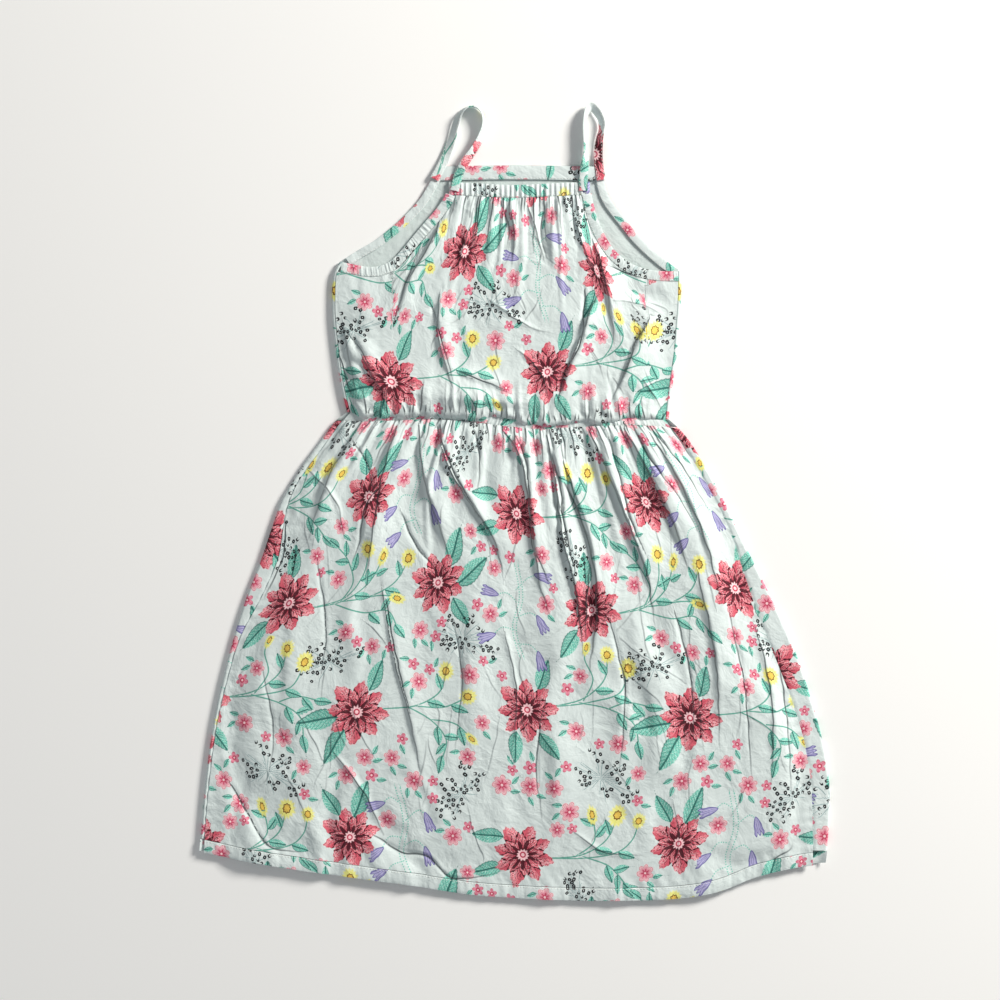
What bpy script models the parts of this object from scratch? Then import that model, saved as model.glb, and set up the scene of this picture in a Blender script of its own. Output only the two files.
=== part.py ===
"""A child's sleeveless summer dress, laid flat on its back as it lies on a table.

The back bodice and back skirt lie on the surface, and each curls up at its sides to the side seams.
The front bodice and front skirt lie over them, gathered to the elastic casings at the neck and waist.
X runs across the dress, Y from the hem to the neck and Z up from the surface.
Lengths in the tables are in millimetres. The origin is the middle of the dress, on the surface.
"""

import math
from bisect import bisect_right
from collections import namedtuple

import bmesh
import bpy
from mathutils import Vector

MM = 0.001

# Cloth and sewing sizes
CLOTH = 1.2
DOUBLED_CLOTH = 1.6
GAP = 0.3
SEAM_GAP = 0.7
SIDE_CURL = 2.0
NECK_CASING = 13.0
NECK_BAND = 14.0
ARMHOLE_CASING = 10.0
ARMHOLE_BINDING = 8.5
WAIST_CASING = 8.0
HEM = 13.0
STRAP_WIDTH = 9.0

# Heights of the middle of each wall above the surface
BACK_LEVEL = CLOTH / 2
SEAM_LEVEL = CLOTH / 2 + 2 * SIDE_CURL
BINDING_LEVEL = 1.5 * CLOTH + GAP
LEAST_FRONT = CLOTH + 2 * GAP + 1.5 * CLOTH
CASING_LEVEL = LEAST_FRONT + 0.2
STRAP_LIFT = 0.1
SIDE_RISE = 34.0
EDGE_RISE = 46.0

# Gathers: how many there are
NECK_GATHERS = 12
CASING_GATHERS = 28
WAIST_GATHERS = 24
WAIST_RUFFLES = 32
HEM_PUCKERS = 30
ARMHOLE_PUCKERS = 9
BACK_RUFFLES = 14

# How high the gathers are, how far they run into the cloth and how much that varies
SKIRT_GATHER, SKIRT_REACH, SKIRT_REACH_SPREAD = 3.4, 70.0, 45.0
NECK_GATHER, NECK_REACH, NECK_REACH_SPREAD = 2.6, 62.0, 34.0
BODICE_GATHER, BODICE_REACH = 1.6, 26.0
BACK_GATHER, BODICE_BACK_REACH, SKIRT_BACK_REACH = 1.2, 0.14, 0.1
CASING_PUCKER = 1.0
ARMHOLE_PUCKER = 1.3
WAIST_RUFFLE = 1.8
BACK_RUFFLE = 0.6
HEM_PUCKER = 1.1

# How far in from the side seams and edges the gathers and folds rise to their full height
GATHER_INSET = 10.0
PUCKER_INSET = 12.0
BODICE_FOLD_INSET = 14.0
SKIRT_FOLD_INSET = 16.0

# How far in from the outline the side seams lie, and where the armhole casings end at the neck
LEAST_INSET = CLOTH / 2 + SIDE_CURL + 1.0
NECK_CORNER = 0.12
CORNER_GAP = 1.5

# How the panels are divided: shares of their width and rows down them
ARMHOLE_SHARE = 0.16
BACK_ARMHOLE_SHARE = 0.3
CASING_ROW = 0.07
ARMHOLE_COLUMNS = 12
BACK_COLUMNS = 20
STRAP_STEPS = 36

# The stretches of the armhole lines that their casings and bindings cover, as shares of each line's length
LEFT_CASING_OUTER, LEFT_CASING_INNER = (0.035, 0.915), (0.026, 1.0)
RIGHT_CASING_OUTER, RIGHT_CASING_INNER = (0.09, 0.965), (0.0, 0.955)
LEFT_BINDING, RIGHT_BINDING = (0.07, 0.985), (0.015, 0.93)
BINDING_INSET = 0.4

# Rows down the panels, and how far down the skirt the finely divided gathers go
FINE_GATHERS = 0.13
BODICE_ROWS = (0, 0.05, 0.12, 0.2, 0.3, 0.42, 0.54, 0.66, 0.77, 0.87, 0.94, 1)
SKIRT_ROWS = (
    0, 0.018, 0.042, 0.075, 0.115, 0.165, 0.225, 0.295, 0.37, 0.45, 0.53, 0.61, 0.69, 0.77, 0.85, 0.93, 1,
)

# Outlines, each a row of points (x, y)
BODICE_LEFT = (
    (-174.5, 239.5), (-181, 226), (-182.3, 200), (-181.5, 178), (-178.5, 150), (-175, 124), (-171, 104),
    (-167, 88),
)
BODICE_RIGHT = (
    (166.5, 230), (166.8, 215), (166, 195), (164, 170), (162.5, 150), (159.5, 128), (156.5, 106),
    (154, 82),
)
SKIRT_LEFT = (
    (-169, 88), (-180, 79), (-193, 61), (-208, 41), (-221.5, 20), (-233, 0), (-243, -28), (-253, -58),
    (-268.5, -98), (-281, -138), (-291.5, -178), (-300.5, -220), (-307, -265), (-311.5, -310), (-314.5, -350),
)
SKIRT_RIGHT = (
    (155, 82), (172, 64), (187, 41), (208.5, 2), (227.5, -38), (247.5, -78), (266.5, -118), (283.5, -158),
    (297, -200), (308, -240), (314.3, -280), (314.5, -305), (313.5, -332), (310.5, -362),
)
SEAM_LEFT = (
    (-164, 88), (-174, 78), (-188, 58), (-203, 38), (-217, 17), (-226, -5), (-231, -30), (-236, -58),
    (-252, -95), (-273, -135), (-286, -178), (-296, -220), (-302.5, -265), (-307, -310), (-310, -350),
)
SEAM_RIGHT = (
    (150, 82), (165, 62), (178, 41), (200, 2), (218, -38), (231, -78), (245, -118), (261, -158),
    (277, -200), (289, -240), (296, -285), (297.5, -333), (297.5, -362),
)
WAIST = (
    (-167, 89), (-140, 88), (-114, 89), (-75, 90), (-35, 87), (0, 82.5), (30, 80), (50, 81.5), (86, 83.5),
    (125, 84), (154, 82),
)
HEM_LINE = (
    (-314.5, -349.5), (-270, -358.5), (-210, -368.5), (-138, -378.5), (-98, -384), (-47, -392),
    (2, -395.8), (50, -398),
    (98, -398.5), (146, -397.5), (178, -394.5), (208, -388), (240, -375.5), (274, -366.8), (310.5, -361.5),
)
ARMHOLE_LEFT = (
    (-174.5, 239.5), (-158.5, 236.3), (-144.5, 234.2), (-132.5, 235.7), (-123.5, 240.5), (-114.5, 249),
    (-105, 260.5),
    (-92.5, 275.5), (-79.5, 290.5), (-70.5, 303.5), (-66, 318),
)
ARMHOLE_RIGHT = (
    (75.5, 318.5), (78, 301.5), (82.5, 284), (89, 268.5), (96.5, 255.5), (105.5, 245.5), (116.5, 237.7),
    (130.5, 232.3),
    (147.5, 230), (166, 229.8),
)
NECKLINE = ((-65.5, 319), (-35, 317.5), (0, 316), (35, 317.5), (75, 319.3))
BACK_ARMHOLE_LEFT = (
    (-174.5, 239.5), (-157, 251), (-138.5, 262), (-114.5, 281.5), (-95.5, 301.5), (-84.5, 319.5),
    (-76.5, 334),
)
BACK_ARMHOLE_RIGHT = (
    (88.5, 334.5), (91.5, 314), (97.5, 300), (111.5, 281.5), (128, 261.5), (148.5, 243), (166.5, 230),
)
BACK_NECKLINE = ((-76, 335), (-30, 336), (20, 336), (87.5, 335))
BAND_TOP = ((-66.6, 334.6), (-30, 335.6), (20, 335.6), (78.2, 334.6))

# How far the front stands off the back along the dress, at (y, lift)
LIFTS = (
    (320, 0), (290, 1.2), (240, 3.5), (180, 5), (120, 5.5), (98, 4.5), (84, 2.6), (62, 4), (20, 5),
    (-80, 5.5), (-220, 4.5), (-330, 2.5), (-385, 0.6), (-400, 0),
)

# Folds: a path of (x, y), the half width and height of the ridge, and which side is the steeper one
Fold = namedtuple("Fold", "path width height lean")
BODICE_FOLDS = (
    Fold(((-66, 291), (-86, 250), (-107, 214), (-118, 172)), 6, 3.4, 0.2),
    Fold(((-72, 206), (-75, 171), (-67, 136), (-58, 108)), 6, 3.2, -0.2),
    Fold(((-5, 297), (1, 268), (-2, 232)), 6, 2.6, 0.3),
    Fold(((45, 299), (38, 266), (41, 222)), 6, 2.8, 0.0),
    Fold(((80, 262), (92, 220), (99, 176), (103, 148)), 7, 3.2, 0.2),
    Fold(((79, 196), (62, 152), (48, 112), (42, 92)), 6.5, 5.0, 0.4),
    Fold(((134, 180), (119, 152), (106, 117), (96, 96)), 6.5, 4.6, 0.4),
    Fold(((120, 212), (140, 202), (158, 206)), 9, -1.6, 0.0),
    Fold(((-170, 176), (-162, 136), (-155, 103)), 7, 2.6, 0.3),
    Fold(((-152, 152), (-138, 122), (-118, 97)), 7, 3.0, -0.2),
    Fold(((-55, 128), (-24, 117), (0, 108)), 5, 2.4, 0.2),
    Fold(((-90, 106), (-30, 101), (34, 95)), 9, 2.6, 0.0),
)
SKIRT_FOLDS = (
    Fold(((-73, 76), (-71, 52), (-58, 21), (-36, -11), (-17, -44), (-9, -80)), 7, 5.0, 0.4),
    Fold(((-9, 70), (8, 41), (18, -19), (26, -79), (38, -115)), 7, 5.0, 0.3),
    Fold(((33, 66), (43, 11), (49, -39), (62, -89), (69, -155)), 8, 6.5, 0.5),
    Fold(((50, 40), (67, -12), (79, -59), (83, -109), (75, -175)), 8, 5.5, 0.4),
    Fold(((76, 71), (98, 21), (118, -29), (134, -74), (142, -125)), 9, 5.8, 0.3),
    Fold(((111, 74), (134, 31), (158, -19), (178, -75)), 8, 5.0, 0.3),
    Fold(((136, 69), (166, 21), (192, -39), (209, -105)), 8, 4.6, 0.2),
    Fold(((-114, 74), (-129, 21), (-139, -39), (-147, -95)), 10, 4.0, -0.2),
    Fold(((-94, 76), (-90, 31), (-75, -19), (-60, -65)), 8, 4.2, 0.3),
    Fold(((-152, 74), (-183, 21), (-204, -45)), 10, 3.0, -0.3),
    Fold(((-130, -90), (-118, -159), (-102, -219), (-86, -300)), 9, 3.4, 0.4),
    Fold(((-36, -90), (-44, -179), (-39, -270)), 14, 3.0, 0.0),
    Fold(((186, -70), (203, -159), (208, -250)), 12, 4.0, 0.2),
    Fold(((120, -130), (141, -219), (136, -310)), 14, 3.4, 0.0),
    Fold(((45, -190), (41, -279), (47, -360)), 15, 3.0, 0.0),
    Fold(((-214, -90), (-226, -179), (-214, -270)), 13, 3.0, 0.0),
    Fold(((243, -125), (259, -199), (258, -290)), 10, 3.0, 0.2),
    Fold(((-288, -200), (-274, -279), (-250, -329), (-222, -360)), 9, -2.4, 0.2),
    Fold(((-146, -315), (-114, -358), (-74, -388)), 10, -2.4, 0.0),
    Fold(((184, -346), (228, -364), (268, -340)), 9, -2.0, 0.0),
)

# Straps: the middle line as (x, y, height of what lies under it, turn in degrees from lying flat)
StrapPoint = namedtuple("StrapPoint", "x y under turn")
STRAP_LEFT = (
    StrapPoint(-71.3, 338.4, 0.8, 0), StrapPoint(-67.5, 348, 0.3, 10), StrapPoint(-62.5, 362, 0, 26),
    StrapPoint(-59.5, 374, 0, 36), StrapPoint(-56, 384, 0, 48), StrapPoint(-50, 391.5, 0, 70),
    StrapPoint(-41, 394, 0, 84), StrapPoint(-33, 388.5, 0, 78), StrapPoint(-30, 377, 0, 58),
    StrapPoint(-33.5, 364, 0, 46), StrapPoint(-41, 350.5, 1.2, 40), StrapPoint(-49.5, 338, 3.2, 20),
    StrapPoint(-55.5, 327, 3.6, 0), StrapPoint(-57, 320.4, 3.6, 0),
)
STRAP_RIGHT = (
    StrapPoint(84.2, 336.8, 0.8, 0), StrapPoint(83.6, 348, 0.3, 16), StrapPoint(84.8, 362, 0, 40),
    StrapPoint(87, 372, 0, 50), StrapPoint(86.5, 381, 0, 44), StrapPoint(82, 389.5, 0, 30),
    StrapPoint(76.5, 394.1, 0, 24), StrapPoint(71.8, 388, 0, 56), StrapPoint(69.5, 377, 0, 74),
    StrapPoint(69.5, 363, 0, 78), StrapPoint(70.5, 349.5, 1.0, 72), StrapPoint(70.5, 339, 3.0, 34),
    StrapPoint(69, 328, 3.6, 4), StrapPoint(68.5, 320.6, 3.6, 0),
)

# Finishes: colour, roughness
PRINTED_COTTON = ("printed cotton", (0.86, 0.84, 0.82, 1), 0.8)
WRONG_SIDE = ("wrong side of the cotton", (0.84, 0.88, 0.88, 1), 0.85)
GATHERED_CASING = ("gathered casing", (0.88, 0.88, 0.85, 1), 0.8)


def ease(u):
    """0 below 0, 1 above 1, and a smooth step between."""
    u = min(max(u, 0.0), 1.0)
    return u * u * (3 - 2 * u)


def between(a, b, u):
    return a + (b - a) * u


def rounded(points, steps=8):
    """The points of a smooth curve through these, as a Catmull-Rom spline."""
    ends = [points[0], *points, points[-1]]
    out = []
    for k in range(1, len(ends) - 2):
        p0, p1, p2, p3 = ends[k - 1 : k + 3]
        for i in range(steps):
            u = i / steps
            point = []
            for a, b, c, d in zip(p0, p1, p2, p3):
                square, cube = 2 * a - 5 * b + 4 * c - d, 3 * b - a - 3 * c + d
                point.append(0.5 * (2 * b + (c - a) * u + square * u**2 + cube * u**3))
            out.append(tuple(point))
    return [*out, tuple(points[-1])]


class Line:
    """A smooth curve that can be read by its length, and by y where it runs down the dress."""

    def __init__(self, points, smooth=True):
        self.points = rounded(points) if smooth else [tuple(p) for p in points]
        self.marks = [0.0]
        for a, b in zip(self.points, self.points[1:]):
            self.marks.append(self.marks[-1] + math.dist(a[:2], b[:2]))
        self.length = self.marks[-1]

    def at(self, share):
        """The point at this share of the length."""
        target = min(max(share, 0.0), 1.0) * self.length
        k = min(bisect_right(self.marks, target), len(self.marks) - 1)
        span = self.marks[k] - self.marks[k - 1]
        u = (target - self.marks[k - 1]) / span if span else 0.0
        return tuple(between(a, b, u) for a, b in zip(self.points[k - 1], self.points[k]))

    def x_at(self, y):
        """Where a line that runs downwards has this y."""
        for a, b in zip(self.points, self.points[1:]):
            if a[1] >= y >= b[1] and a[1] > b[1]:
                return between(a[0], b[0], (a[1] - y) / (a[1] - b[1]))
        return self.points[0][0] if y > self.points[0][1] else self.points[-1][0]

    def y_at(self, x):
        """Where a line that runs to the right has this x."""
        for a, b in zip(self.points, self.points[1:]):
            if a[0] <= x <= b[0] and a[0] < b[0]:
                return between(a[1], b[1], (x - a[0]) / (b[0] - a[0]))
        return self.points[0][1] if x < self.points[0][0] else self.points[-1][1]

    def inset(self, distance):
        """The line moved to its right by this distance."""
        moved = []
        for k, p in enumerate(self.points):
            a, b = self.points[max(k - 1, 0)], self.points[min(k + 1, len(self.points) - 1)]
            along = Vector((b[0] - a[0], b[1] - a[1])).normalized()
            moved.append((p[0] + along.y * distance, p[1] - along.x * distance))
        return Line(moved, smooth=False)

    def near(self, x, y):
        """(distance to the line, to its right as positive, and the share of its length there)."""
        best = (1e9, 0.0, 0.0)
        for k in range(len(self.points) - 1):
            a, b = self.points[k], self.points[k + 1]
            dx, dy = b[0] - a[0], b[1] - a[1]
            size = max(dx * dx + dy * dy, 1e-9)
            u = min(max(((x - a[0]) * dx + (y - a[1]) * dy) / size, 0.0), 1.0)
            away = math.hypot(x - a[0] - u * dx, y - a[1] - u * dy)
            if away < best[0]:
                side = 1.0 if dx * (y - a[1]) - dy * (x - a[0]) < 0 else -1.0
                best = (away, side, between(self.marks[k], self.marks[k + 1], u) / self.length)
        return best[0] * best[1], best[2]


class Sides:
    """The left and right edges of the dress, or its side seams, at a given y."""

    def __init__(self, left, right, inset=0.0, outline=None):
        self.left, self.right, self.inset, self.outline = Line(left), Line(right), inset, outline

    def at(self, y):
        left, right = self.left.x_at(y) + self.inset, self.right.x_at(y) - self.inset
        if self.outline:
            edge_left, edge_right = self.outline.at(y)
            left, right = max(left, edge_left + LEAST_INSET), min(right, edge_right - LEAST_INSET)
        return left, right

    def x(self, y, share):
        left, right = self.at(y)
        return between(left, right, share)


bodice_outline = Sides(BODICE_LEFT, BODICE_RIGHT)
bodice_seams = Sides(BODICE_LEFT, BODICE_RIGHT, LEAST_INSET + 1.0)
skirt_outline = Sides(SKIRT_LEFT, SKIRT_RIGHT)
skirt_seams = Sides(SEAM_LEFT, SEAM_RIGHT, 0.0, skirt_outline)
waist, hem_line, neckline = Line(WAIST), Line(HEM_LINE), Line(NECKLINE)
armhole_left, armhole_right = Line(ARMHOLE_LEFT), Line(ARMHOLE_RIGHT)
back_armhole_left, back_armhole_right = Line(BACK_ARMHOLE_LEFT), Line(BACK_ARMHOLE_RIGHT)
back_neckline = Line(BACK_NECKLINE)
lift_line = Line([(lift, y) for y, lift in LIFTS])


class Gathers:
    """Waves side by side across a seam, uneven in width and height, each with its own number."""

    def __init__(self, count, shift, unevenness):
        steps = [math.sin(2.4 * k + shift) + 0.6 * math.sin(5.1 * k + 2 * shift) for k in range(count)]
        widths = [1 + unevenness * step for step in steps]
        self.marks = [0.0]
        for width in widths:
            self.marks.append(self.marks[-1] + width / sum(widths))
        self.sizes = [1 + 0.9 * unevenness * math.sin(3.7 * k + shift) for k in range(count)]

    def wave(self, share):
        """(height from 0 to about 1, number of the gather) at this share of the seam."""
        k = min(max(bisect_right(self.marks, share) - 1, 0), len(self.sizes) - 1)
        phase = (share - self.marks[k]) / (self.marks[k + 1] - self.marks[k])
        return self.sizes[k] * (0.5 - 0.5 * math.cos(2 * math.pi * phase)), k

    def shares(self, parts):
        """Shares of the seam that split each gather in this many equal parts, so that its crest is kept."""
        cuts = [between(a, b, i / parts) for a, b in zip(self.marks, self.marks[1:]) for i in range(parts)]
        return [*cuts, 1.0]


waist_gathers = Gathers(WAIST_GATHERS, 0.6, 0.34)
neck_gathers = Gathers(NECK_GATHERS, 1.9, 0.34)


def even(count):
    return [i / count for i in range(count + 1)]


def fold_height(folds, x, y):
    """The sum of these folds at a point: each is full near its middle and dies away at its ends."""
    total = 0.0
    for fold, line in folds:
        away, share = line.near(x, y)
        width = fold.width * (1 - fold.lean if away > 0 else 1 + fold.lean)
        if abs(away) < 3 * width:
            fade = ease(0.35 + share / 0.25) * ease((1 - share) / 0.45)
            total += fold.height * fade * math.exp(-((away / width) ** 2))
    return total


bodice_folds = [(fold, Line(fold.path)) for fold in BODICE_FOLDS]
skirt_folds = [(fold, Line(fold.path)) for fold in SKIRT_FOLDS]


def waist_y(across):
    """The upper edge of the waist casing, at a share from side to side."""
    return waist.y_at(between(WAIST[0][0], WAIST[-1][0], across))


def hem_y(sides, across):
    """The lower edge of the hem, at a share from side to side."""
    return hem_line.y_at(sides.x(HEM_LINE[-1][1], across))


def skirt_place(sides, across, down):
    """Where a point of the skirt lies in plan, at shares from side to side and from waist to hem."""
    y = between(waist_y(across) - WAIST_CASING - SEAM_GAP, hem_y(sides, across) + HEM + SEAM_GAP, down)
    return sides.x(y, across), y


def bodice_place(sides, upper_edge, across, down):
    """Where a point of a bodice panel lies in plan, between its upper edge and the waist."""
    top_x, top_y = upper_edge(across)
    left, right = sides.at(top_y)
    top_share = min(max((top_x - left) / (right - left), 0.0), 1.0)
    y = between(top_y, waist_y(across) + SEAM_GAP, down)
    return sides.x(y, between(top_share, across, down)), y


def front_level(seams, x, y):
    """Height of the front's middle before its gathers and folds: low at the side seams, higher inside."""
    left, right = seams.at(y)
    return SEAM_LEVEL + ease(min(x - left, right - x) / SIDE_RISE) * lift_line.x_at(y)


def from_side(seams, x, y, reach):
    """0 at the side seams and 1 from this reach inwards."""
    left, right = seams.at(y)
    return ease(min(x - left, right - x) / reach)


def skirt_front_height(x, y, across):
    run = waist_y(across) - WAIST_CASING - y
    wave, k = waist_gathers.wave(across)
    reach = SKIRT_REACH + SKIRT_REACH_SPREAD * math.sin(1.9 * k)
    gather = SKIRT_GATHER * wave * ease((run + 5) / 18) * math.exp(-((run / reach) ** 2))
    gather *= from_side(skirt_seams, x, y, GATHER_INSET)
    folds = fold_height(skirt_folds, x, y) * from_side(skirt_seams, x, y, SKIRT_FOLD_INSET)
    return max(front_level(skirt_seams, x, y) + gather + folds, LEAST_FRONT)


def bodice_front_height(x, y, across):
    run = bodice_front_edge(across)[1] - y
    neck_share = (across - ARMHOLE_SHARE) / (1 - 2 * ARMHOLE_SHARE)
    wave, k = neck_gathers.wave(neck_share)
    inside = ease(min(neck_share, 1 - neck_share) / 0.05)
    reach = NECK_REACH + NECK_REACH_SPREAD * math.sin(2.3 * k)
    gather = NECK_GATHER * wave * inside * ease((run + 3) / 10) * math.exp(-((run / reach) ** 2))
    rise = y - waist_y(across)
    low = BODICE_GATHER * waist_gathers.wave(across)[0] * from_side(bodice_seams, x, y, PUCKER_INSET)
    low *= ease((rise + 2) / 8) * math.exp(-((rise / BODICE_REACH) ** 2))
    level = between(SEAM_LEVEL, front_level(bodice_seams, x, y), ease((run + 2) / EDGE_RISE))
    folds = fold_height(bodice_folds, x, y) * from_side(bodice_seams, x, y, BODICE_FOLD_INSET)
    folds *= ease((run + 1) / 16)
    return max(level + gather + low + folds, LEAST_FRONT)


def back_gather(across, away):
    """How far the back lifts in its gathers, at a distance from the waist counted in the gathers' reach."""
    return BACK_GATHER * waist_gathers.wave(across)[0] * math.exp(-(away**2))


def part_of(line, first, last):
    """The stretch of a line between two shares of its length."""
    return Line([line.at(between(first, last, share))[:2] for share in even(40)], smooth=False)


inner_armhole_left = part_of(armhole_left.inset(ARMHOLE_CASING + SEAM_GAP), 0.0, 1 - NECK_CORNER)
inner_armhole_right = part_of(armhole_right.inset(ARMHOLE_CASING + SEAM_GAP), NECK_CORNER, 1.0)


def bodice_front_edge(across):
    """The front bodice's upper edge, under its casings: an armhole, the neck and the other armhole."""
    if across < ARMHOLE_SHARE:
        return inner_armhole_left.at(across / ARMHOLE_SHARE)
    if across > 1 - ARMHOLE_SHARE:
        return inner_armhole_right.at((across - 1 + ARMHOLE_SHARE) / ARMHOLE_SHARE)
    share = (across - ARMHOLE_SHARE) / (1 - 2 * ARMHOLE_SHARE)
    left, right = inner_armhole_left.points[-1][0], inner_armhole_right.points[0][0]
    x = between(left + CORNER_GAP, right - CORNER_GAP, share)
    return x, neckline.y_at(x) - NECK_CASING - SEAM_GAP


def bodice_back_edge(across):
    """The back bodice's upper edge: an armhole, the neck and the other armhole."""
    if across < BACK_ARMHOLE_SHARE:
        return back_armhole_left.at(across / BACK_ARMHOLE_SHARE)
    if across > 1 - BACK_ARMHOLE_SHARE:
        return back_armhole_right.at((across - 1 + BACK_ARMHOLE_SHARE) / BACK_ARMHOLE_SHARE)
    return back_neckline.at((across - BACK_ARMHOLE_SHARE) / (1 - 2 * BACK_ARMHOLE_SHARE))


def back_row(place, outline, seams, columns, level, ripple):
    """A row across the back: in from the left seam, round the curl, across the surface and up the other side.
    place(share) is a point of the row in plan, and ripple(share) is how far the cloth lifts there."""
    sides = []
    for share, way in ((0, 1), (1, -1)):
        x, y = place(share)
        edge_x = outline.x(y, share)
        centre = edge_x + way * (CLOTH / 2 + SIDE_CURL)
        side = [Vector((seams.x(y, share) - way * GAP, y, SEAM_LEVEL))]
        for degrees in (90, 135, 180, 225, 270):
            turn = math.radians(degrees)
            z = SEAM_LEVEL - SIDE_CURL + SIDE_CURL * math.sin(turn)
            side.append(Vector((centre + way * SIDE_CURL * math.cos(turn), y, z)))
        sides.append(side)
    flat = [Vector((*place(share), level + ripple(share))) for share in columns[1:-1]]
    return [*sides[0], *flat, *sides[1][::-1]]


def band_rows(outer, inner, shares, height):
    """Rows of a band between two lines. height(share) is the middle of its wall."""
    return [[Vector((*line.at(share)[:2], height(share))) for share in shares] for line in (outer, inner)]


def puckers(count, size, level):
    """A height for band_rows: level, with this many even puckers along the band."""
    return lambda share: level + size * (0.5 - 0.5 * math.cos(2 * math.pi * count * share))


def sheet(name, rows, wall, finish):
    """Cloth through rows of points, left to right and top to bottom, as a wall of this thickness.
    Rows may differ in their number of points: the faces between them are then triangles."""
    mesh = bpy.data.meshes.new(name)
    bm = bmesh.new()
    lines = [[bm.verts.new(point * MM) for point in row] for row in rows]
    for upper, lower in zip(lines, lines[1:]):
        i = j = 0
        while i < len(upper) - 1 or j < len(lower) - 1:
            here, there = i / (len(upper) - 1), j / (len(lower) - 1)
            if len(upper) == len(lower):
                bm.faces.new((upper[i], lower[j], lower[j + 1], upper[i + 1]))
                i, j = i + 1, j + 1
            elif j < len(lower) - 1 and (i == len(upper) - 1 or there <= here):
                bm.faces.new((upper[i], lower[j], lower[j + 1]))
                j += 1
            else:
                bm.faces.new((upper[i], lower[j], upper[i + 1]))
                i += 1
    bmesh.ops.triangulate(bm, faces=bm.faces)
    bm.to_mesh(mesh)
    bm.free()
    mesh.shade_smooth()
    obj = bpy.data.objects.new(name, mesh)
    bpy.context.scene.collection.objects.link(obj)
    solidify = obj.modifiers.new("wall", "SOLIDIFY")
    solidify.thickness = wall * MM
    solidify.offset = 0
    obj.modifiers.new("soft edges", "WEIGHTED_NORMAL")
    title, colour, roughness = finish
    material = bpy.data.materials.get(title) or bpy.data.materials.new(title)
    material.use_nodes = True
    shader = material.node_tree.nodes["Principled BSDF"]
    shader.inputs["Base Color"].default_value = colour
    shader.inputs["Roughness"].default_value = roughness
    mesh.materials.append(material)
    return obj


def strap_rows(points, width):
    """Rows of a strap: its two edges along the middle line, turned about it."""
    line = Line(points)
    edges = ([], [])
    for share in even(STRAP_STEPS):
        x, y, under, turn = line.at(share)
        ahead, behind = line.at(share + 1 / STRAP_STEPS), line.at(share - 1 / STRAP_STEPS)
        along = Vector((ahead[0] - behind[0], ahead[1] - behind[1], 0)).normalized()
        across = Vector((along.y, -along.x, 0))
        turn = math.radians(turn)
        lie = under + STRAP_LIFT + DOUBLED_CLOTH / 2 * math.cos(turn) + width / 2 * math.sin(turn)
        slant = across * math.cos(turn) + Vector((0, 0, math.sin(turn)))
        for edge, side in zip(edges, (-width / 2, width / 2)):
            edge.append(Vector((x, y, lie)) + slant * side)
    return edges


def build_bodice():
    """The front bodice, gathered at the neck, and the back bodice flat on the surface."""
    across = [ARMHOLE_SHARE * share for share in even(ARMHOLE_COLUMNS)[:-1]]
    across += [between(ARMHOLE_SHARE, 1 - ARMHOLE_SHARE, share) for share in neck_gathers.shares(4)]
    across += [1 - ARMHOLE_SHARE * share for share in even(ARMHOLE_COLUMNS)[-2::-1]]
    rows = []
    for down in BODICE_ROWS:
        row = []
        for share in across:
            x, y = bodice_place(bodice_seams, bodice_front_edge, share, down)
            left, right = bodice_seams.at(y)
            row.append(Vector((min(max(x, left + GAP), right - GAP), y, bodice_front_height(x, y, share))))
        rows.append(row)
    sheet("bodice_front", rows, CLOTH, PRINTED_COTTON)

    rows = []
    for down in (0.0, *[between(CASING_ROW, 1.0, row) for row in BODICE_ROWS]):
        rows.append(
            back_row(
                lambda share: bodice_place(bodice_outline, bodice_back_edge, share, down),
                bodice_outline,
                bodice_seams,
                even(BACK_COLUMNS),
                BACK_LEVEL,
                lambda share: back_gather(share, (1 - down) / BODICE_BACK_REACH),
            )
        )
    sheet("bodice_back", rows, CLOTH, WRONG_SIDE)


def build_skirt():
    """The front skirt, gathered at the waist, and the back skirt flat on the surface."""
    rows = []
    for down in SKIRT_ROWS:
        row = []
        for share in waist_gathers.shares(4 if down < FINE_GATHERS else 2):
            x, y = skirt_place(skirt_seams, share, down)
            left, right = skirt_seams.at(y)
            row.append(Vector((min(max(x, left + GAP), right - GAP), y, skirt_front_height(x, y, share))))
        rows.append(row)
    sheet("skirt_front", rows, CLOTH, PRINTED_COTTON)

    rows = []
    for down in SKIRT_ROWS:
        rows.append(
            back_row(
                lambda share: skirt_place(skirt_outline, share, down),
                skirt_outline,
                skirt_seams,
                even(BACK_COLUMNS),
                BACK_LEVEL,
                lambda share: back_gather(share, down / SKIRT_BACK_REACH),
            )
        )
    sheet("skirt_back", rows, CLOTH, PRINTED_COTTON)


def build_neck():
    """The gathered casing at the front neckline, and the flat band inside the back neckline."""
    gathers = Gathers(CASING_GATHERS, 0.3, 0.12)
    lower = Line([(x, y - NECK_CASING) for x, y in NECKLINE])

    def height(share):
        return CASING_LEVEL + CASING_PUCKER * gathers.wave(share)[0]

    sheet("neck_casing_front", band_rows(neckline, lower, gathers.shares(4), height), CLOTH, GATHERED_CASING)

    top, bottom = Line(BAND_TOP), Line([(x, y - NECK_BAND) for x, y in BAND_TOP])
    rows = band_rows(top, bottom, even(12), lambda share: BINDING_LEVEL)
    sheet("neck_band_back", rows, CLOTH, PRINTED_COTTON)


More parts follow.
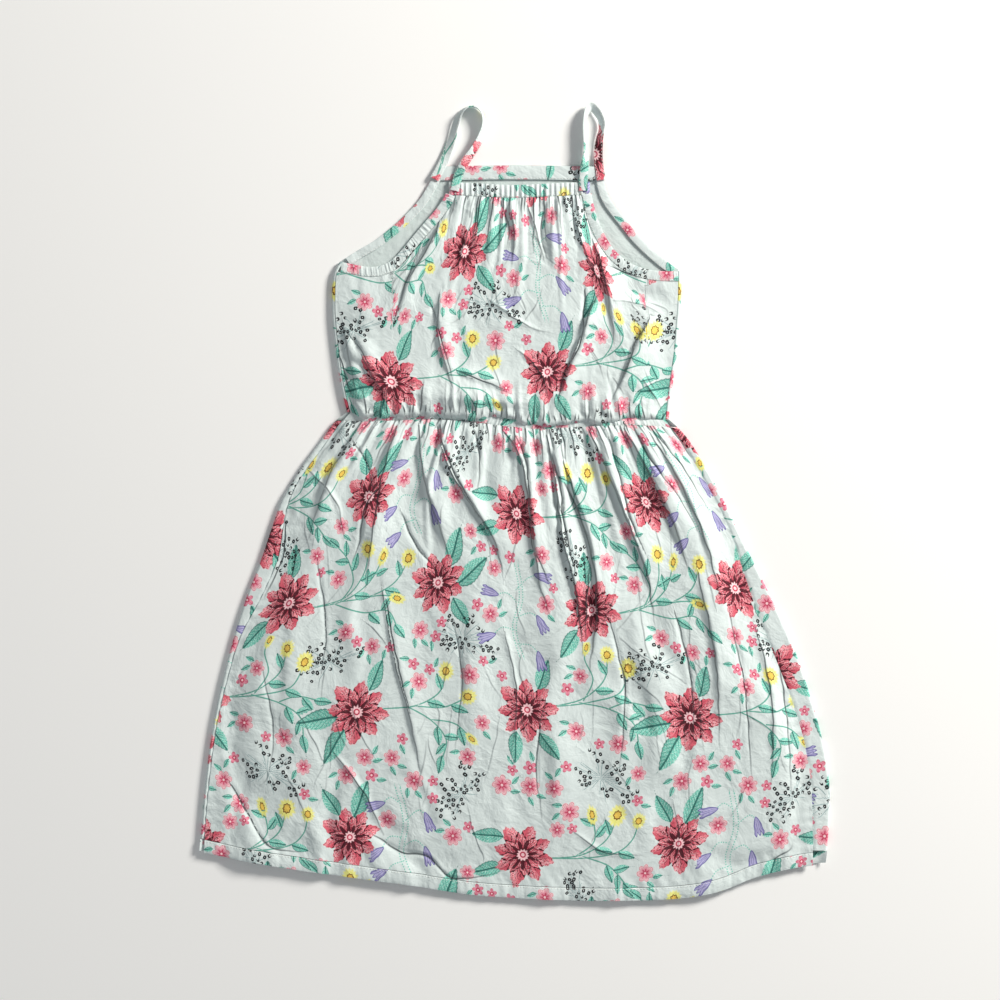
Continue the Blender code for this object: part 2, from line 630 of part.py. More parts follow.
def build_armholes():
    """The elastic casings at the front armholes, and the bindings turned inside along the back ones."""
    columns = [ARMHOLE_SHARE * share for share in even(ARMHOLE_COLUMNS)][:-1]
    left_edge = Line([bodice_front_edge(share) for share in columns], smooth=False).inset(-SEAM_GAP)
    right_edge = Line([bodice_front_edge(1 - share) for share in columns[::-1]], smooth=False)
    right_edge = right_edge.inset(-SEAM_GAP)
    casings = (
        ("left", part_of(armhole_left, *LEFT_CASING_OUTER), part_of(left_edge, *LEFT_CASING_INNER)),
        ("right", part_of(armhole_right, *RIGHT_CASING_OUTER), part_of(right_edge, *RIGHT_CASING_INNER)),
    )
    for side, outer, inner in casings:
        height = puckers(ARMHOLE_PUCKERS, ARMHOLE_PUCKER, CASING_LEVEL)
        rows = band_rows(outer, inner, even(4 * ARMHOLE_PUCKERS), height)
        sheet(f"armhole_casing_{side}", rows, CLOTH, GATHERED_CASING)
    bindings = (
        ("left", part_of(back_armhole_left.inset(BINDING_INSET), *LEFT_BINDING)),
        ("right", part_of(back_armhole_right.inset(BINDING_INSET), *RIGHT_BINDING)),
    )
    for side, outer in bindings:
        rows = band_rows(outer, outer.inset(ARMHOLE_BINDING), even(20), lambda share: BINDING_LEVEL)
        sheet(f"armhole_binding_{side}", rows, CLOTH, PRINTED_COTTON)


def build_waist():
    """The elastic casing at the waist, gathered in front and behind."""
    ruffles = Gathers(WAIST_RUFFLES, 2.2, 0.2)
    rows = []
    for seams, drop in ((bodice_seams, 0.0), (skirt_seams, WAIST_CASING)):
        row = []
        for share in ruffles.shares(3):
            y = waist_y(share) - drop
            x = seams.x(y, share)
            left, right = seams.at(y)
            ruffle = WAIST_RUFFLE * ruffles.wave(share)[0] * from_side(seams, x, y, GATHER_INSET)
            z = front_level(seams, x, y) + ruffle
            row.append(Vector((min(max(x, left + GAP), right - GAP), y, z)))
        rows.append(row)
    sheet("waist_casing_front", rows, DOUBLED_CLOTH, GATHERED_CASING)

    rows = []
    edges = ((bodice_outline, bodice_seams, 0.0), (skirt_outline, skirt_seams, WAIST_CASING))
    for outline, seams, drop in edges:
        rows.append(
            back_row(
                lambda share: (outline.x(waist_y(share) - drop, share), waist_y(share) - drop),
                outline,
                seams,
                even(3 * BACK_RUFFLES),
                BACK_LEVEL,
                puckers(BACK_RUFFLES, BACK_RUFFLE, 0.0),
            )
        )
    sheet("waist_casing_back", rows, CLOTH, GATHERED_CASING)


def build_hem():
    """The turned-up hem, a doubled band along the front skirt and another along the back."""
    pucker = puckers(HEM_PUCKERS, HEM_PUCKER, 0.0)
    rows = []
    for rise in (HEM, 0.0):
        row = []
        for share in even(3 * HEM_PUCKERS):
            y = hem_y(skirt_seams, share) + rise
            x = skirt_seams.x(y, share)
            left, right = skirt_seams.at(y)
            z = skirt_front_height(x, y, share) + pucker(share) * from_side(skirt_seams, x, y, PUCKER_INSET)
            row.append(Vector((min(max(x, left + GAP), right - GAP), y, z)))
        rows.append(row)
    sheet("hem_front", rows, DOUBLED_CLOTH, PRINTED_COTTON)

    def hem_place(share, rise):
        y = hem_y(skirt_outline, share) + rise
        return skirt_outline.x(y, share), y

    rows = []
    for rise in (HEM, 0.0):
        rows.append(
            back_row(
                lambda share: hem_place(share, rise),
                skirt_outline,
                skirt_seams,
                even(BACK_COLUMNS),
                BACK_LEVEL,
                lambda share: 0.0,
            )
        )
    sheet("hem_back", rows, CLOTH, PRINTED_COTTON)


def build_straps():
    """The two shoulder straps, each from the back binding up over its own loop to the front casing."""
    for side, points in (("left", STRAP_LEFT), ("right", STRAP_RIGHT)):
        sheet(f"strap_{side}", strap_rows(points, STRAP_WIDTH), DOUBLED_CLOTH, PRINTED_COTTON)


def main():
    for obj in list(bpy.data.objects):
        bpy.data.objects.remove(obj)
    build_bodice()
    build_skirt()
    build_neck()
    build_armholes()
    build_waist()
    build_hem()
    build_straps()


main()
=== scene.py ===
import functools
import math
from collections import namedtuple

import bpy
import numpy as np
from bpy.props import FloatProperty, FloatVectorProperty, IntProperty, PointerProperty
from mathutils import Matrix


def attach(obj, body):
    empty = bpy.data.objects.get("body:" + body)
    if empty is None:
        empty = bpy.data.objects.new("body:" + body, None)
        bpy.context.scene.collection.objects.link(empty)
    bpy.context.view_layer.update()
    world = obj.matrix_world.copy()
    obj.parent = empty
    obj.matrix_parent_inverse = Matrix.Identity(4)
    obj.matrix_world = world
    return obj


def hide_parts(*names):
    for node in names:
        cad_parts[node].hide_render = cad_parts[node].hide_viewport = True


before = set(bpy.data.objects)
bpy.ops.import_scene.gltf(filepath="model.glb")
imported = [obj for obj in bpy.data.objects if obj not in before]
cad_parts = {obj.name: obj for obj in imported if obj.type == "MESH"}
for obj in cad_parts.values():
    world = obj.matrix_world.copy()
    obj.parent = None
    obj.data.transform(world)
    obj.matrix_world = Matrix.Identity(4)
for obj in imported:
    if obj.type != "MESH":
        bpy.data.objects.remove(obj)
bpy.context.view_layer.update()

bl_info = {
    "name": "Flower-printed summer dress",
    "version": (1, 0, 0),
    "blender": (4, 5, 0),
    "location": "3D View > Sidebar > Dress",
    "description": "Builds a child's gathered summer dress, laid flat, with its print, stitching and stage",
    "category": "Object",
}

# Lengths in the tables are in millimetres, with X across the dress, Y towards the neck and Z up
MM = 0.001

# Cloth and sewing sizes, as the solids have them
CLOTH = 0.6
HIDDEN_GAP = 0.25
SEAM_LEVEL = 4.6
SIDE_INSET = 3.6
NECK_CASING = 13.0
ARMHOLE_CASING = 10.0
ARMHOLE_BINDING = 8.5
WAIST_CASING = 8.0
HEM = 13.0
SEAM_GAP = 0.35
SIDE_RISE = 34.0
EDGE_RISE = 46.0
STRAP_WIDTH, STRAP_THICKNESS = 9.0, 1.7

# Shares of a bodice panel's upper edge that each armhole takes
ARMHOLE_SHARE = 0.2
BACK_ARMHOLE_SHARE = 0.3

# Widths and lengths that the grids of the two front panels and the two back panels are spaced by
SKIRT_WIDTH, SKIRT_LENGTH = 520.0, 455.0
BODICE_WIDTH, BODICE_LENGTH = 440.0, 225.0
BACK_BODICE_LENGTH, BACK_BODICE_COLUMNS, BACK_SKIRT_COLUMNS = 150.0, 130, 120

# Widths of the cloth before it was gathered, the neck's as a factor, and the shift of each piece's print
SKIRT_CUT_TOP, SKIRT_CUT_BOTTOM = 500.0, 640.0
NECK_FULLNESS, BODICE_CUT_CHEST, BODICE_CUT_WAIST = 1.45, 352.0, 380.0
SKIRT_SHIFT, BODICE_SHIFT, BACK_SHIFT = (30.0, 36.0), (4.0, 306.0), (302.0, 120.0)

# A fold's steep side: its least width, how much a lean narrows it, and the least lean that a line marks
LEAST_FLANK, LEAN_NARROWS, MARKED_LEAN = 1.3, 1.3, 0.4

# A sharp crease: how far its line shows to its sides, the reach searched for it, and the least depth drawn
CREASE_SPREAD, CREASE_REACH, LEAST_CREASE = 3.5, 8.0, 0.03

# Points round a band's ring, and those near its first and its second edge where a row of stitches lies
BAND_POINTS, FIRST_EDGE, SECOND_EDGE = 14, 1, 5

# Numbers of a cloth piece's two materials
RIGHT_SIDE, WRONG_SIDE = 0, 1
CLOTH_SIDES = ("printed cotton, right side", "printed cotton, wrong side")

# Outlines, each a row of points (x, y)
BODICE_LEFT = (
    (-174.5, 239.5), (-181, 226), (-182.3, 200), (-181.5, 178), (-178.5, 150), (-175, 124), (-171, 104),
    (-167, 88),
)
BODICE_RIGHT = (
    (166.5, 230), (166.8, 215), (166, 195), (164, 170), (162.5, 150), (159.5, 128), (156.5, 106),
    (154, 82),
)
SKIRT_LEFT = (
    (-169, 88), (-180, 79), (-193, 61), (-208, 41), (-221.5, 20), (-233, 0), (-243, -28), (-253, -58),
    (-268.5, -98), (-281, -138), (-291.5, -178), (-300.5, -220), (-307, -265), (-311.5, -310),
    (-314.5, -350),
)
SKIRT_RIGHT = (
    (155, 82), (172, 64), (187, 41), (208.5, 2), (227.5, -38), (247.5, -78), (266.5, -118),
    (283.5, -158), (297, -200), (308, -240), (314.3, -280), (314.5, -305), (313.5, -332), (310.5, -362),
)
SEAM_LEFT = (
    (-164, 88), (-174, 78), (-188, 58), (-203, 38), (-217, 17), (-226, -5), (-231, -30), (-236, -58),
    (-252, -95), (-273, -135), (-286, -178), (-296, -220), (-302.5, -265), (-307, -310), (-310, -350),
)
SEAM_RIGHT = (
    (150, 82), (165, 62), (178, 41), (200, 2), (218, -38), (231, -78), (245, -118), (261, -158),
    (277, -200), (289, -240), (296, -285), (297.5, -333), (297.5, -362),
)
WAIST = (
    (-167, 89), (-140, 88), (-114, 89), (-75, 90), (-35, 87), (0, 82.5), (30, 80), (50, 81.5),
    (86, 83.5), (125, 84), (154, 82),
)
HEM_LINE = (
    (-314.5, -349.5), (-270, -358.5), (-210, -368.5), (-138, -378.5), (-98, -384), (-47, -392),
    (2, -395.8), (50, -398), (98, -398.5), (146, -397.5), (178, -394.5), (208, -388), (240, -375.5),
    (274, -366.8), (310.5, -361.5),
)
ARMHOLE_LEFT = (
    (-174.5, 239.5), (-158.5, 236.3), (-144.5, 234.2), (-132.5, 235.7), (-123.5, 240.5), (-114.5, 249),
    (-105, 260.5), (-92.5, 275.5), (-79.5, 290.5), (-70.5, 303.5), (-66, 318),
)
ARMHOLE_RIGHT = (
    (75.5, 318.5), (78, 301.5), (82.5, 284), (89, 268.5), (96.5, 255.5), (105.5, 245.5), (116.5, 237.7),
    (130.5, 232.3), (147.5, 230), (166, 229.8),
)
NECKLINE = ((-65.5, 319), (-35, 317.5), (0, 316), (35, 317.5), (75, 319.3))
BACK_ARMHOLE_LEFT = (
    (-174.5, 239.5), (-157, 251), (-138.5, 262), (-114.5, 281.5), (-95.5, 301.5), (-84.5, 319.5),
    (-76.5, 334),
)
BACK_ARMHOLE_RIGHT = (
    (88.5, 334.5), (91.5, 314), (97.5, 300), (111.5, 281.5), (128, 261.5), (148.5, 243), (166.5, 230),
)
BACK_NECKLINE = ((-76, 335), (-30, 336), (20, 336), (87.5, 335))
BAND_TOP = ((-74, 334.6), (-30, 335.6), (20, 335.6), (86, 334.6))

# How far the front stands off the back along the dress, at (y, lift)
LIFTS = (
    (320, 0), (290, 1.2), (240, 3.5), (180, 5), (120, 5.5), (98, 4.5), (84, 2.6), (62, 4), (20, 5),
    (-80, 5.5), (-220, 4.5), (-330, 2.5), (-385, 0.6), (-400, 0),
)

# Main folds and small creases: a path of (x, y), half width, height and lean. The height is negative in a
# trough, and a lean makes one side steeper
Fold = namedtuple("Fold", "path width height lean")
BODICE_FOLDS = (
    Fold(((-66, 291), (-86, 250), (-107, 214), (-118, 172)), 6, 3.4, 0.45),
    Fold(((-72, 206), (-75, 171), (-67, 136), (-58, 108)), 6, 3.2, 0.4),
    Fold(((-5, 297), (1, 268), (-2, 232)), 6, 2.6, 0.52),
    Fold(((45, 299), (38, 266), (41, 222)), 6, 2.8, 0.3),
    Fold(((80, 262), (92, 220), (99, 176), (103, 148)), 7, 3.2, 0.45),
    Fold(((79, 196), (62, 152), (48, 112), (42, 92)), 6.5, 5.0, 0.58),
    Fold(((134, 180), (119, 152), (106, 117), (96, 96)), 6.5, 4.6, 0.58),
    Fold(((120, 212), (140, 202), (158, 206)), 9, -1.6, 0.0),
    Fold(((-170, 176), (-162, 136), (-155, 103)), 7, 2.6, 0.52),
    Fold(((-152, 152), (-138, 122), (-118, 97)), 7, 3.0, 0.4),
    Fold(((-55, 128), (-24, 117), (0, 108)), 5, 2.4, 0.45),
    Fold(((-90, 106), (-30, 101), (34, 95)), 9, 2.6, 0.3),
)
SKIRT_FOLDS = (
    Fold(((-73, 76), (-71, 52), (-58, 21), (-36, -11), (-17, -44), (-9, -80)), 7, 5.0, 0.58),
    Fold(((-9, 70), (8, 41), (18, -19), (26, -79), (38, -115)), 7, 5.0, 0.52),
    Fold(((33, 66), (43, 11), (49, -39), (62, -89), (69, -155)), 8, 6.5, 0.62),
    Fold(((50, 40), (67, -12), (79, -59), (83, -109), (75, -175)), 8, 5.5, 0.58),
    Fold(((76, 71), (98, 21), (118, -29), (134, -74), (142, -125)), 9, 5.8, 0.52),
    Fold(((111, 74), (134, 31), (158, -19), (178, -75)), 8, 5.0, 0.52),
    Fold(((136, 69), (166, 21), (192, -39), (209, -105)), 8, 4.6, 0.45),
    Fold(((-114, 74), (-129, 21), (-139, -39), (-147, -95)), 10, 4.0, 0.4),
    Fold(((-94, 76), (-90, 31), (-75, -19), (-60, -65)), 8, 4.2, 0.52),
    Fold(((-152, 74), (-183, 21), (-204, -45)), 10, 3.0, 0.4),
    Fold(((-130, -90), (-118, -159), (-102, -219), (-86, -300)), 9, 3.4, 0.58),
    Fold(((-36, -90), (-44, -179), (-39, -270)), 14, 3.0, 0.3),
    Fold(((186, -70), (203, -159), (208, -250)), 12, 4.0, 0.45),
    Fold(((120, -130), (141, -219), (136, -310)), 14, 3.4, 0.3),
    Fold(((45, -190), (41, -279), (47, -360)), 15, 3.0, 0.3),
    Fold(((-214, -90), (-226, -179), (-214, -270)), 13, 3.0, 0.3),
    Fold(((243, -125), (259, -199), (258, -290)), 10, 3.0, 0.45),
    Fold(((-288, -200), (-274, -279), (-250, -329), (-222, -360)), 14, -4.0, 0.3),
    Fold(((-146, -315), (-114, -350), (-74, -378)), 12, -3.4, 0.2),
    Fold(((184, -346), (228, -364), (268, -340)), 9, -2.0, 0.0),
)
BODICE_CREASES = (
    Fold(((-70, 300), (-80, 262), (-94, 243)), 1.6, 1.3, 0.0),
    Fold(((-99, 243), (-109, 214), (-117, 190), (-121, 170)), 1.8, -1.4, 0.0),
    Fold(((-40, 296), (-48, 262), (-58, 230)), 1.8, 1.1, 0.0),
    Fold(((-14, 300), (-6, 276), (-8, 250)), 1.5, -1.4, 0.0),
    Fold(((12, 298), (24, 262), (30, 236)), 1.8, 1.2, 0.0),
    Fold(((31, 297), (26, 268), (33, 240)), 1.6, -1.3, 0.0),
    Fold(((58, 288), (70, 250), (86, 216)), 1.8, 1.2, 0.0),
    Fold(((70, 211), (66, 160), (52, 131), (45, 110), (42, 88)), 2.0, -2.6, 0.0),
    Fold(((127, 168), (118, 151), (111, 131), (103, 113)), 1.8, -2.2, 0.0),
    Fold(((-53, 128), (-25, 117), (-7, 111)), 1.6, -1.6, 0.0),
    Fold(((-84, 202), (-70, 152), (-60, 116)), 1.8, -1.4, 0.0),
    Fold(((-176, 150), (-168, 122), (-160, 100)), 1.8, -2.0, 0.0),
    Fold(((-168, 170), (-150, 146), (-139, 118)), 1.8, -1.3, 0.0),
    Fold(((-24, 200), (10, 176), (38, 168)), 2.2, 0.9, 0.0),
    Fold(((4, 150), (26, 128), (34, 100)), 1.6, 1.2, 0.0),
    Fold(((88, 238), (118, 226), (150, 222)), 2.0, -1.3, 0.0),
    Fold(((98, 200), (128, 196), (152, 182)), 2.0, 0.8, 0.0),
    Fold(((128, 120), (140, 104), (146, 92)), 1.6, 1.2, 0.0),
)
SKIRT_CREASES = (
    Fold(((-77, 76), (-73, 60), (-58, 24), (-40, -6), (-19, -44)), 1.8, -2.4, 0.0),
    Fold(((-1, 70), (12, 36), (17, -38), (24, -58), (38, -90)), 1.8, -2.2, 0.0),
    Fold(((36, 48), (46, 11), (48, -18), (54, -44), (62, -80)), 2.0, -3.2, 0.0),
    Fold(((50, 17), (65, -12), (76, -48), (80, -90)), 2.0, -2.6, 0.0),
    Fold(((94, 62), (105, 22), (115, -18), (135, -60)), 1.8, -2.4, 0.0),
    Fold(((118, 76), (135, 42), (165, 2), (186, -38)), 1.8, -2.0, 0.0),
    Fold(((-132, 18), (-148, -4), (-155, -42), (-162, -62)), 1.8, -1.8, 0.0),
    Fold(((-112, -12), (-100, -40), (-72, -76)), 1.6, -1.6, 0.0),
    Fold(((-128, -98), (-119, -148), (-110, -188), (-99, -228)), 1.8, -1.8, 0.0),
    Fold(((75, -58), (72, -98), (70, -140)), 1.6, 1.5, 0.0),
    Fold(((-283, -282), (-262, -318), (-245, -344), (-211, -349)), 2.0, -2.2, 0.0),
    Fold(((-140, -333), (-114, -349), (-87, -354), (-60, -376), (-9, -368)), 2.0, -1.8, 0.0),
    Fold(((230, -378), (248, -366), (258, -358), (275, -346), (276, -333)), 1.8, -2.0, 0.0),
    Fold(((-228, -22), (-233, -60), (-250, -98)), 1.8, -2.0, 0.0),
    Fold(((-204, 30), (-178, 0), (-170, -40)), 1.6, 1.1, 0.0),
    Fold(((-196, -60), (-188, -130), (-196, -190)), 1.8, -1.3, 0.0),
    Fold(((-60, -120), (-52, -180), (-60, -250)), 1.6, -1.2, 0.0),
    Fold(((-10, -130), (2, -190), (-4, -260)), 1.8, 1.1, 0.0),
    Fold(((30, -200), (22, -260), (28, -320)), 1.6, -1.2, 0.0),
    Fold(((96, -120), (110, -190), (104, -270)), 1.8, -1.6, 0.0),
    Fold(((160, -110), (176, -180), (178, -240)), 1.6, -1.5, 0.0),
    Fold(((214, -110), (230, -190), (236, -280)), 1.8, -1.6, 0.0),
    Fold(((-250, -170), (-240, -230), (-246, -280)), 1.6, -1.1, 0.0),
    Fold(((-180, -250), (-150, -290), (-128, -340)), 1.8, 1.2, 0.0),
    Fold(((60, -330), (92, -350), (128, -352)), 1.6, 1.0, 0.0),
    Fold(((262, -150), (272, -220), (276, -300)), 1.6, -1.4, 0.0),
    Fold(((-160, 60), (-146, 36), (-140, 6)), 1.6, -1.5, 0.0),
    Fold(((142, 66), (170, 30), (196, -14)), 1.6, -1.6, 0.0),
    Fold(((-40, 70), (-34, 40), (-38, 6)), 1.6, -1.5, 0.0),
)

# Straps: the middle line as (x, y, height of what lies under it, turn in degrees from lying flat)
STRAP_LEFT = (
    (-80, 322, 2.6, 0), (-71.3, 338.4, 1.4, 0), (-67.5, 348, 0.3, 10), (-62.5, 362, 0, 26),
    (-59.5, 374, 0, 36), (-56, 384, 0, 48), (-50, 391.5, 0, 70), (-41, 394, 0, 84), (-33, 388.5, 0, 78),
    (-30, 377, 0, 58), (-33.5, 364, 0, 46), (-41, 350.5, 1.2, 40), (-49.5, 338, 3.2, 20),
    (-55.5, 327, 3.8, 0), (-58.5, 316, 4.6, 0), (-60, 310, 4.6, 0),
)
STRAP_RIGHT = (
    (86.5, 321, 2.6, 0), (84.2, 336.8, 1.4, 0), (83.6, 348, 0.3, 16), (84.8, 362, 0, 40),
    (87, 372, 0, 50), (86.5, 381, 0, 44), (82, 389.5, 0, 30), (76.5, 394.1, 0, 24), (71.8, 388, 0, 56),
    (69.5, 377, 0, 74), (69.5, 363, 0, 78), (70.5, 349.5, 1.0, 72), (70.5, 339, 3.0, 34),
    (69, 328, 3.8, 4), (68.5, 316, 4.6, 0), (68.5, 310, 4.6, 0),
)

# The print: one repeat of a scattered flower print, charted with Y up the cloth
TILE = 340.0

# Numbers by which the layers name each kind of bloom, leaf, dot and stem
FLOWER, PINK, SMALL_PINK, BUTTON, BELL, SIDE_BUTTON = 1, 2, 3, 4, 5, 6
BROAD_LEAF, LEAFLET = 1, 2
RING_DOT, OPEN_DOT = 1, 2
LEAF_STEM, DASHED_STEM, SKETCHED_STEM = 1, 2, 3

# How far outside a motif, and from a stem, the layers still tell a face of it
MOTIF_REACH, STEM_REACH = 2.6, 4.5

# Sizes of the motifs
PINK_RADIUS, SMALL_PINK_RADIUS, BELL_RADIUS, BUTTON_RADIUS, DOT_RADII = 9.5, 6.4, 11.8, 8.4, (1.7, 2.4)
LEAF_LENGTH, LEAFLET_LENGTH, VINE_LEAF_LENGTH, LOOSE_LEAF_LENGTH = 19.0, 9.4, 9.5, 5.4

# Stems in a dot spray, and the loose groups of small flowers, with the places tried for groups and flowers
DOT_STEMS = 17
LOOSE_GROUPS, GROUP_RADIUS, GROUP_TRIES, FLOWER_TRIES = 32, 21.0, 3000, 40

# A spot of the repeat on which no dot and no loose group is centred
FREE_SPOT = (21.0, 0.0, 0.0)

Motif = namedtuple("Motif", "kind x y radius turn narrow")
BigFlower = namedtuple("BigFlower", "x y radius turn leaves")
BIG_FLOWERS = (
    BigFlower(45, 290, 33, 10, (205, 155)),
    BigFlower(205, 300, 32, 35, (72, 118)),
    BigFlower(125, 195, 34, 4, (100, 232)),
    BigFlower(290, 215, 33, 50, (20, 318, 65)),
    BigFlower(50, 95, 33, 25, (250, 300, 62)),
    BigFlower(215, 85, 34, 15, (190, 235, 62)),
)
Vine = namedtuple("Vine", "path tip leaflets")
VINES = (
    Vine(((150, 190), (185, 196), (210, 214), (222, 240)), "button", 3),
    Vine(((150, 190), (186, 199), (202, 222), (204, 248)), "button", 1),
    Vine(((185, 196), (214, 200), (240, 214), (252, 238)), "button", 2),
    Vine(((178, 193), (212, 184), (238, 186), (252, 172)), "leaf", 3),
    Vine(((183, 196), (192, 215), (180, 238), (168, 250)), "leaf", 3),
    Vine(((214, 200), (232, 201), (246, 198)), "button", 0),
    Vine(((76, 100), (108, 108), (132, 126), (138, 150)), "button", 2),
    Vine(((76, 100), (114, 104), (146, 112), (158, 136)), "button", 1),
    Vine(((108, 106), (120, 126), (114, 146), (117, 158)), "button", 0),
    Vine(((104, 104), (134, 96), (156, 82), (160, 62)), "leaf", 3),
    Vine(((134, 97), (152, 102), (172, 98)), "leaf", 1),
    Vine(((72, 288), (105, 292), (130, 306), (140, 330)), "button", 2),
    Vine(((72, 288), (134, 291), (156, 304), (162, 324)), "button", 1),
    Vine(((100, 291), (118, 306), (114, 332)), "button", 2),
    Vine(((106, 291), (134, 280), (152, 262)), "leaf", 3),
    Vine(((242, 88), (275, 92), (300, 106), (308, 128)), "button", 2),
    Vine(((275, 92), (305, 92), (330, 104)), "button", 1),
    Vine(((268, 91), (292, 78), (306, 60), (302, 42)), "leaf", 3),
    Vine(((292, 79), (316, 76), (332, 62)), "button", 1),
)
BELL_SPRIGS = (
    Vine(((37, 238), (44, 207), (39, 177), (46, 148)), "", 0),
    Vine(((41, 238), (48, 207), (43, 177), (50, 148)), "", 0),
    Vine(((42, 216), (52, 226), (62, 230)), "bell", 0),
    Vine(((41, 202), (30, 210), (18, 208)), "bell", 0),
    Vine(((42, 186), (56, 192), (66, 188)), "bell", 0),
    Vine(((40, 174), (28, 176), (19, 168)), "bell", 0),
    Vine(((45, 160), (58, 160), (66, 152)), "bell", 0),
    Vine(((253, 350), (261, 316), (256, 286), (264, 262)), "", 0),
    Vine(((258, 350), (266, 316), (261, 286), (269, 262)), "", 0),
    Vine(((264, 318), (276, 328), (284, 324)), "bell", 0),
    Vine(((258, 300), (246, 300), (238, 288)), "bell", 0),
    Vine(((262, 292), (274, 298), (284, 290)), "bell", 0),
    Vine(((258, 334), (248, 340), (240, 334)), "bell", 0),
    Vine(((260, 276), (248, 272), (242, 262)), "bell", 0),
)
DotSpray = namedtuple("DotSpray", "x y reach turn")
DOT_SPRAYS = (
    DotSpray(326, 160, 26, 80), DotSpray(122, 28, 28, 60), DotSpray(104, 250, 24, 20),
    DotSpray(184, 136, 25, 110), DotSpray(320, 8, 24, 140),
)

# The stage, in metres. The camera is above the point of the dress in the middle of the photograph
FLOOR_SIZE, FLOOR_LEVEL = 6.0, -0.0006
StudioLight = namedtuple("StudioLight", "name place size tint power")
STUDIO_LIGHTS = (
    StudioLight("key light", (2.5, 1.9, 1.5), 0.8, (1.0, 0.965, 0.9), 182.0),
    StudioLight("fill light", (-2.0, -1.6, 2.6), 2.0, (0.93, 0.98, 1.0), 14.0),
)
SKY_TINT, SKY_STRENGTH = (0.97, 0.99, 1.0, 1.0), 0.24
CAMERA_PLACE, SENSOR = (-0.0145, 0.0015), 36.0


def ease(u):
    u = np.clip(u, 0.0, 1.0)
    return u * u * (3 - 2 * u)


def between(a, b, u):
    return a + (b - a) * u


def even(count):
    return np.linspace(0.0, 1.0, count + 1)


def rounded(points, steps=8):
    """The points of a smooth curve through these, as a Catmull-Rom spline."""
    ends = np.array([points[0], *points, points[-1]], float)
    u = np.arange(steps)[:, None] / steps
    out = []
    for k in range(1, len(ends) - 2):
        a, b, c, d = ends[k - 1 : k + 3]
        curve, bend = 2 * a - 5 * b + 4 * c - d, 3 * b - a - 3 * c + d
        out.append(0.5 * (2 * b + (c - a) * u + curve * u**2 + bend * u**3))
    return np.vstack([*out, ends[-1]])


class Line:
    """A smooth curve that can be read by its length, and by y where it runs down the dress."""

    def __init__(self, points, smooth=True):
        self.points = rounded(points) if smooth else np.array(points, float)
        steps = np.linalg.norm(np.diff(self.points[:, :2], axis=0), axis=1)
        self.marks = np.concatenate([[0.0], np.cumsum(steps)])
        self.length = self.marks[-1]

    def at(self, share):
        """The points at these shares of the length, one row for each."""
        along = np.clip(share, 0, 1) * self.length
        return np.stack([np.interp(along, self.marks, column) for column in self.points.T], axis=-1)

    def x_at(self, y):
        return np.interp(-np.asarray(y, float), -self.points[:, 1], self.points[:, 0])

    def y_at(self, x):
        return np.interp(x, self.points[:, 0], self.points[:, 1])

    def inset(self, distance):
        """The line moved to its right by this distance."""
        along = np.gradient(self.points[:, :2], axis=0)
        along /= np.linalg.norm(along, axis=1)[:, None]
        aside = np.stack([along[:, 1], -along[:, 0]], axis=1)
        return Line(self.points[:, :2] + distance * aside, smooth=False)

    def near(self, x, y):
        """Distances to the line, to its right as positive, and lengths along it at the nearest points."""
        shape = np.shape(x)
        away, along = np.full(shape, 1e9), np.zeros(shape)
        for k in range(len(self.points) - 1):
            (ax, ay), (bx, by) = self.points[k][:2], self.points[k + 1][:2]
            dx, dy = bx - ax, by - ay
            size = max(dx * dx + dy * dy, 1e-9)
            u = np.clip(((x - ax) * dx + (y - ay) * dy) / size, 0, 1)
            gap = np.hypot(x - ax - u * dx, y - ay - u * dy)
            side = np.where(dx * (y - ay) - dy * (x - ax) < 0, 1.0, -1.0)
            closer = gap < np.abs(away)
            away = np.where(closer, gap * side, away)
            along = np.where(closer, self.marks[k] + u * math.sqrt(size), along)
        return away, along


class Sides:
    """The left and right edges of the dress, or its side seams, at a given y."""

    def __init__(self, left, right, inset=0.0, outline=None):
        self.left, self.right, self.inset, self.outline = Line(left), Line(right), inset, outline

    def at(self, y):
        left, right = self.left.x_at(y) + self.inset, self.right.x_at(y) - self.inset
        if self.outline:
            edge_left, edge_right = self.outline.at(y)
            left = np.maximum(left, edge_left + SIDE_INSET)
            right = np.minimum(right, edge_right - SIDE_INSET)
        return left, right

    def x(self, y, share):
        left, right = self.at(y)
        return between(left, right, share)


bodice_outline = Sides(BODICE_LEFT, BODICE_RIGHT)
bodice_seams = Sides(BODICE_LEFT, BODICE_RIGHT, SIDE_INSET)
skirt_outline = Sides(SKIRT_LEFT, SKIRT_RIGHT)
skirt_seams = Sides(SEAM_LEFT, SEAM_RIGHT, 0.0, skirt_outline)
waist, hem_line, neckline = Line(WAIST), Line(HEM_LINE), Line(NECKLINE)
armhole_left, armhole_right = Line(ARMHOLE_LEFT), Line(ARMHOLE_RIGHT)
back_armhole_left, back_armhole_right = Line(BACK_ARMHOLE_LEFT), Line(BACK_ARMHOLE_RIGHT)
back_neckline = Line(BACK_NECKLINE)
lift_ys, lifts = np.array(LIFTS[::-1], float).T


def lift_at(y):
    return np.interp(y, lift_ys, lifts)


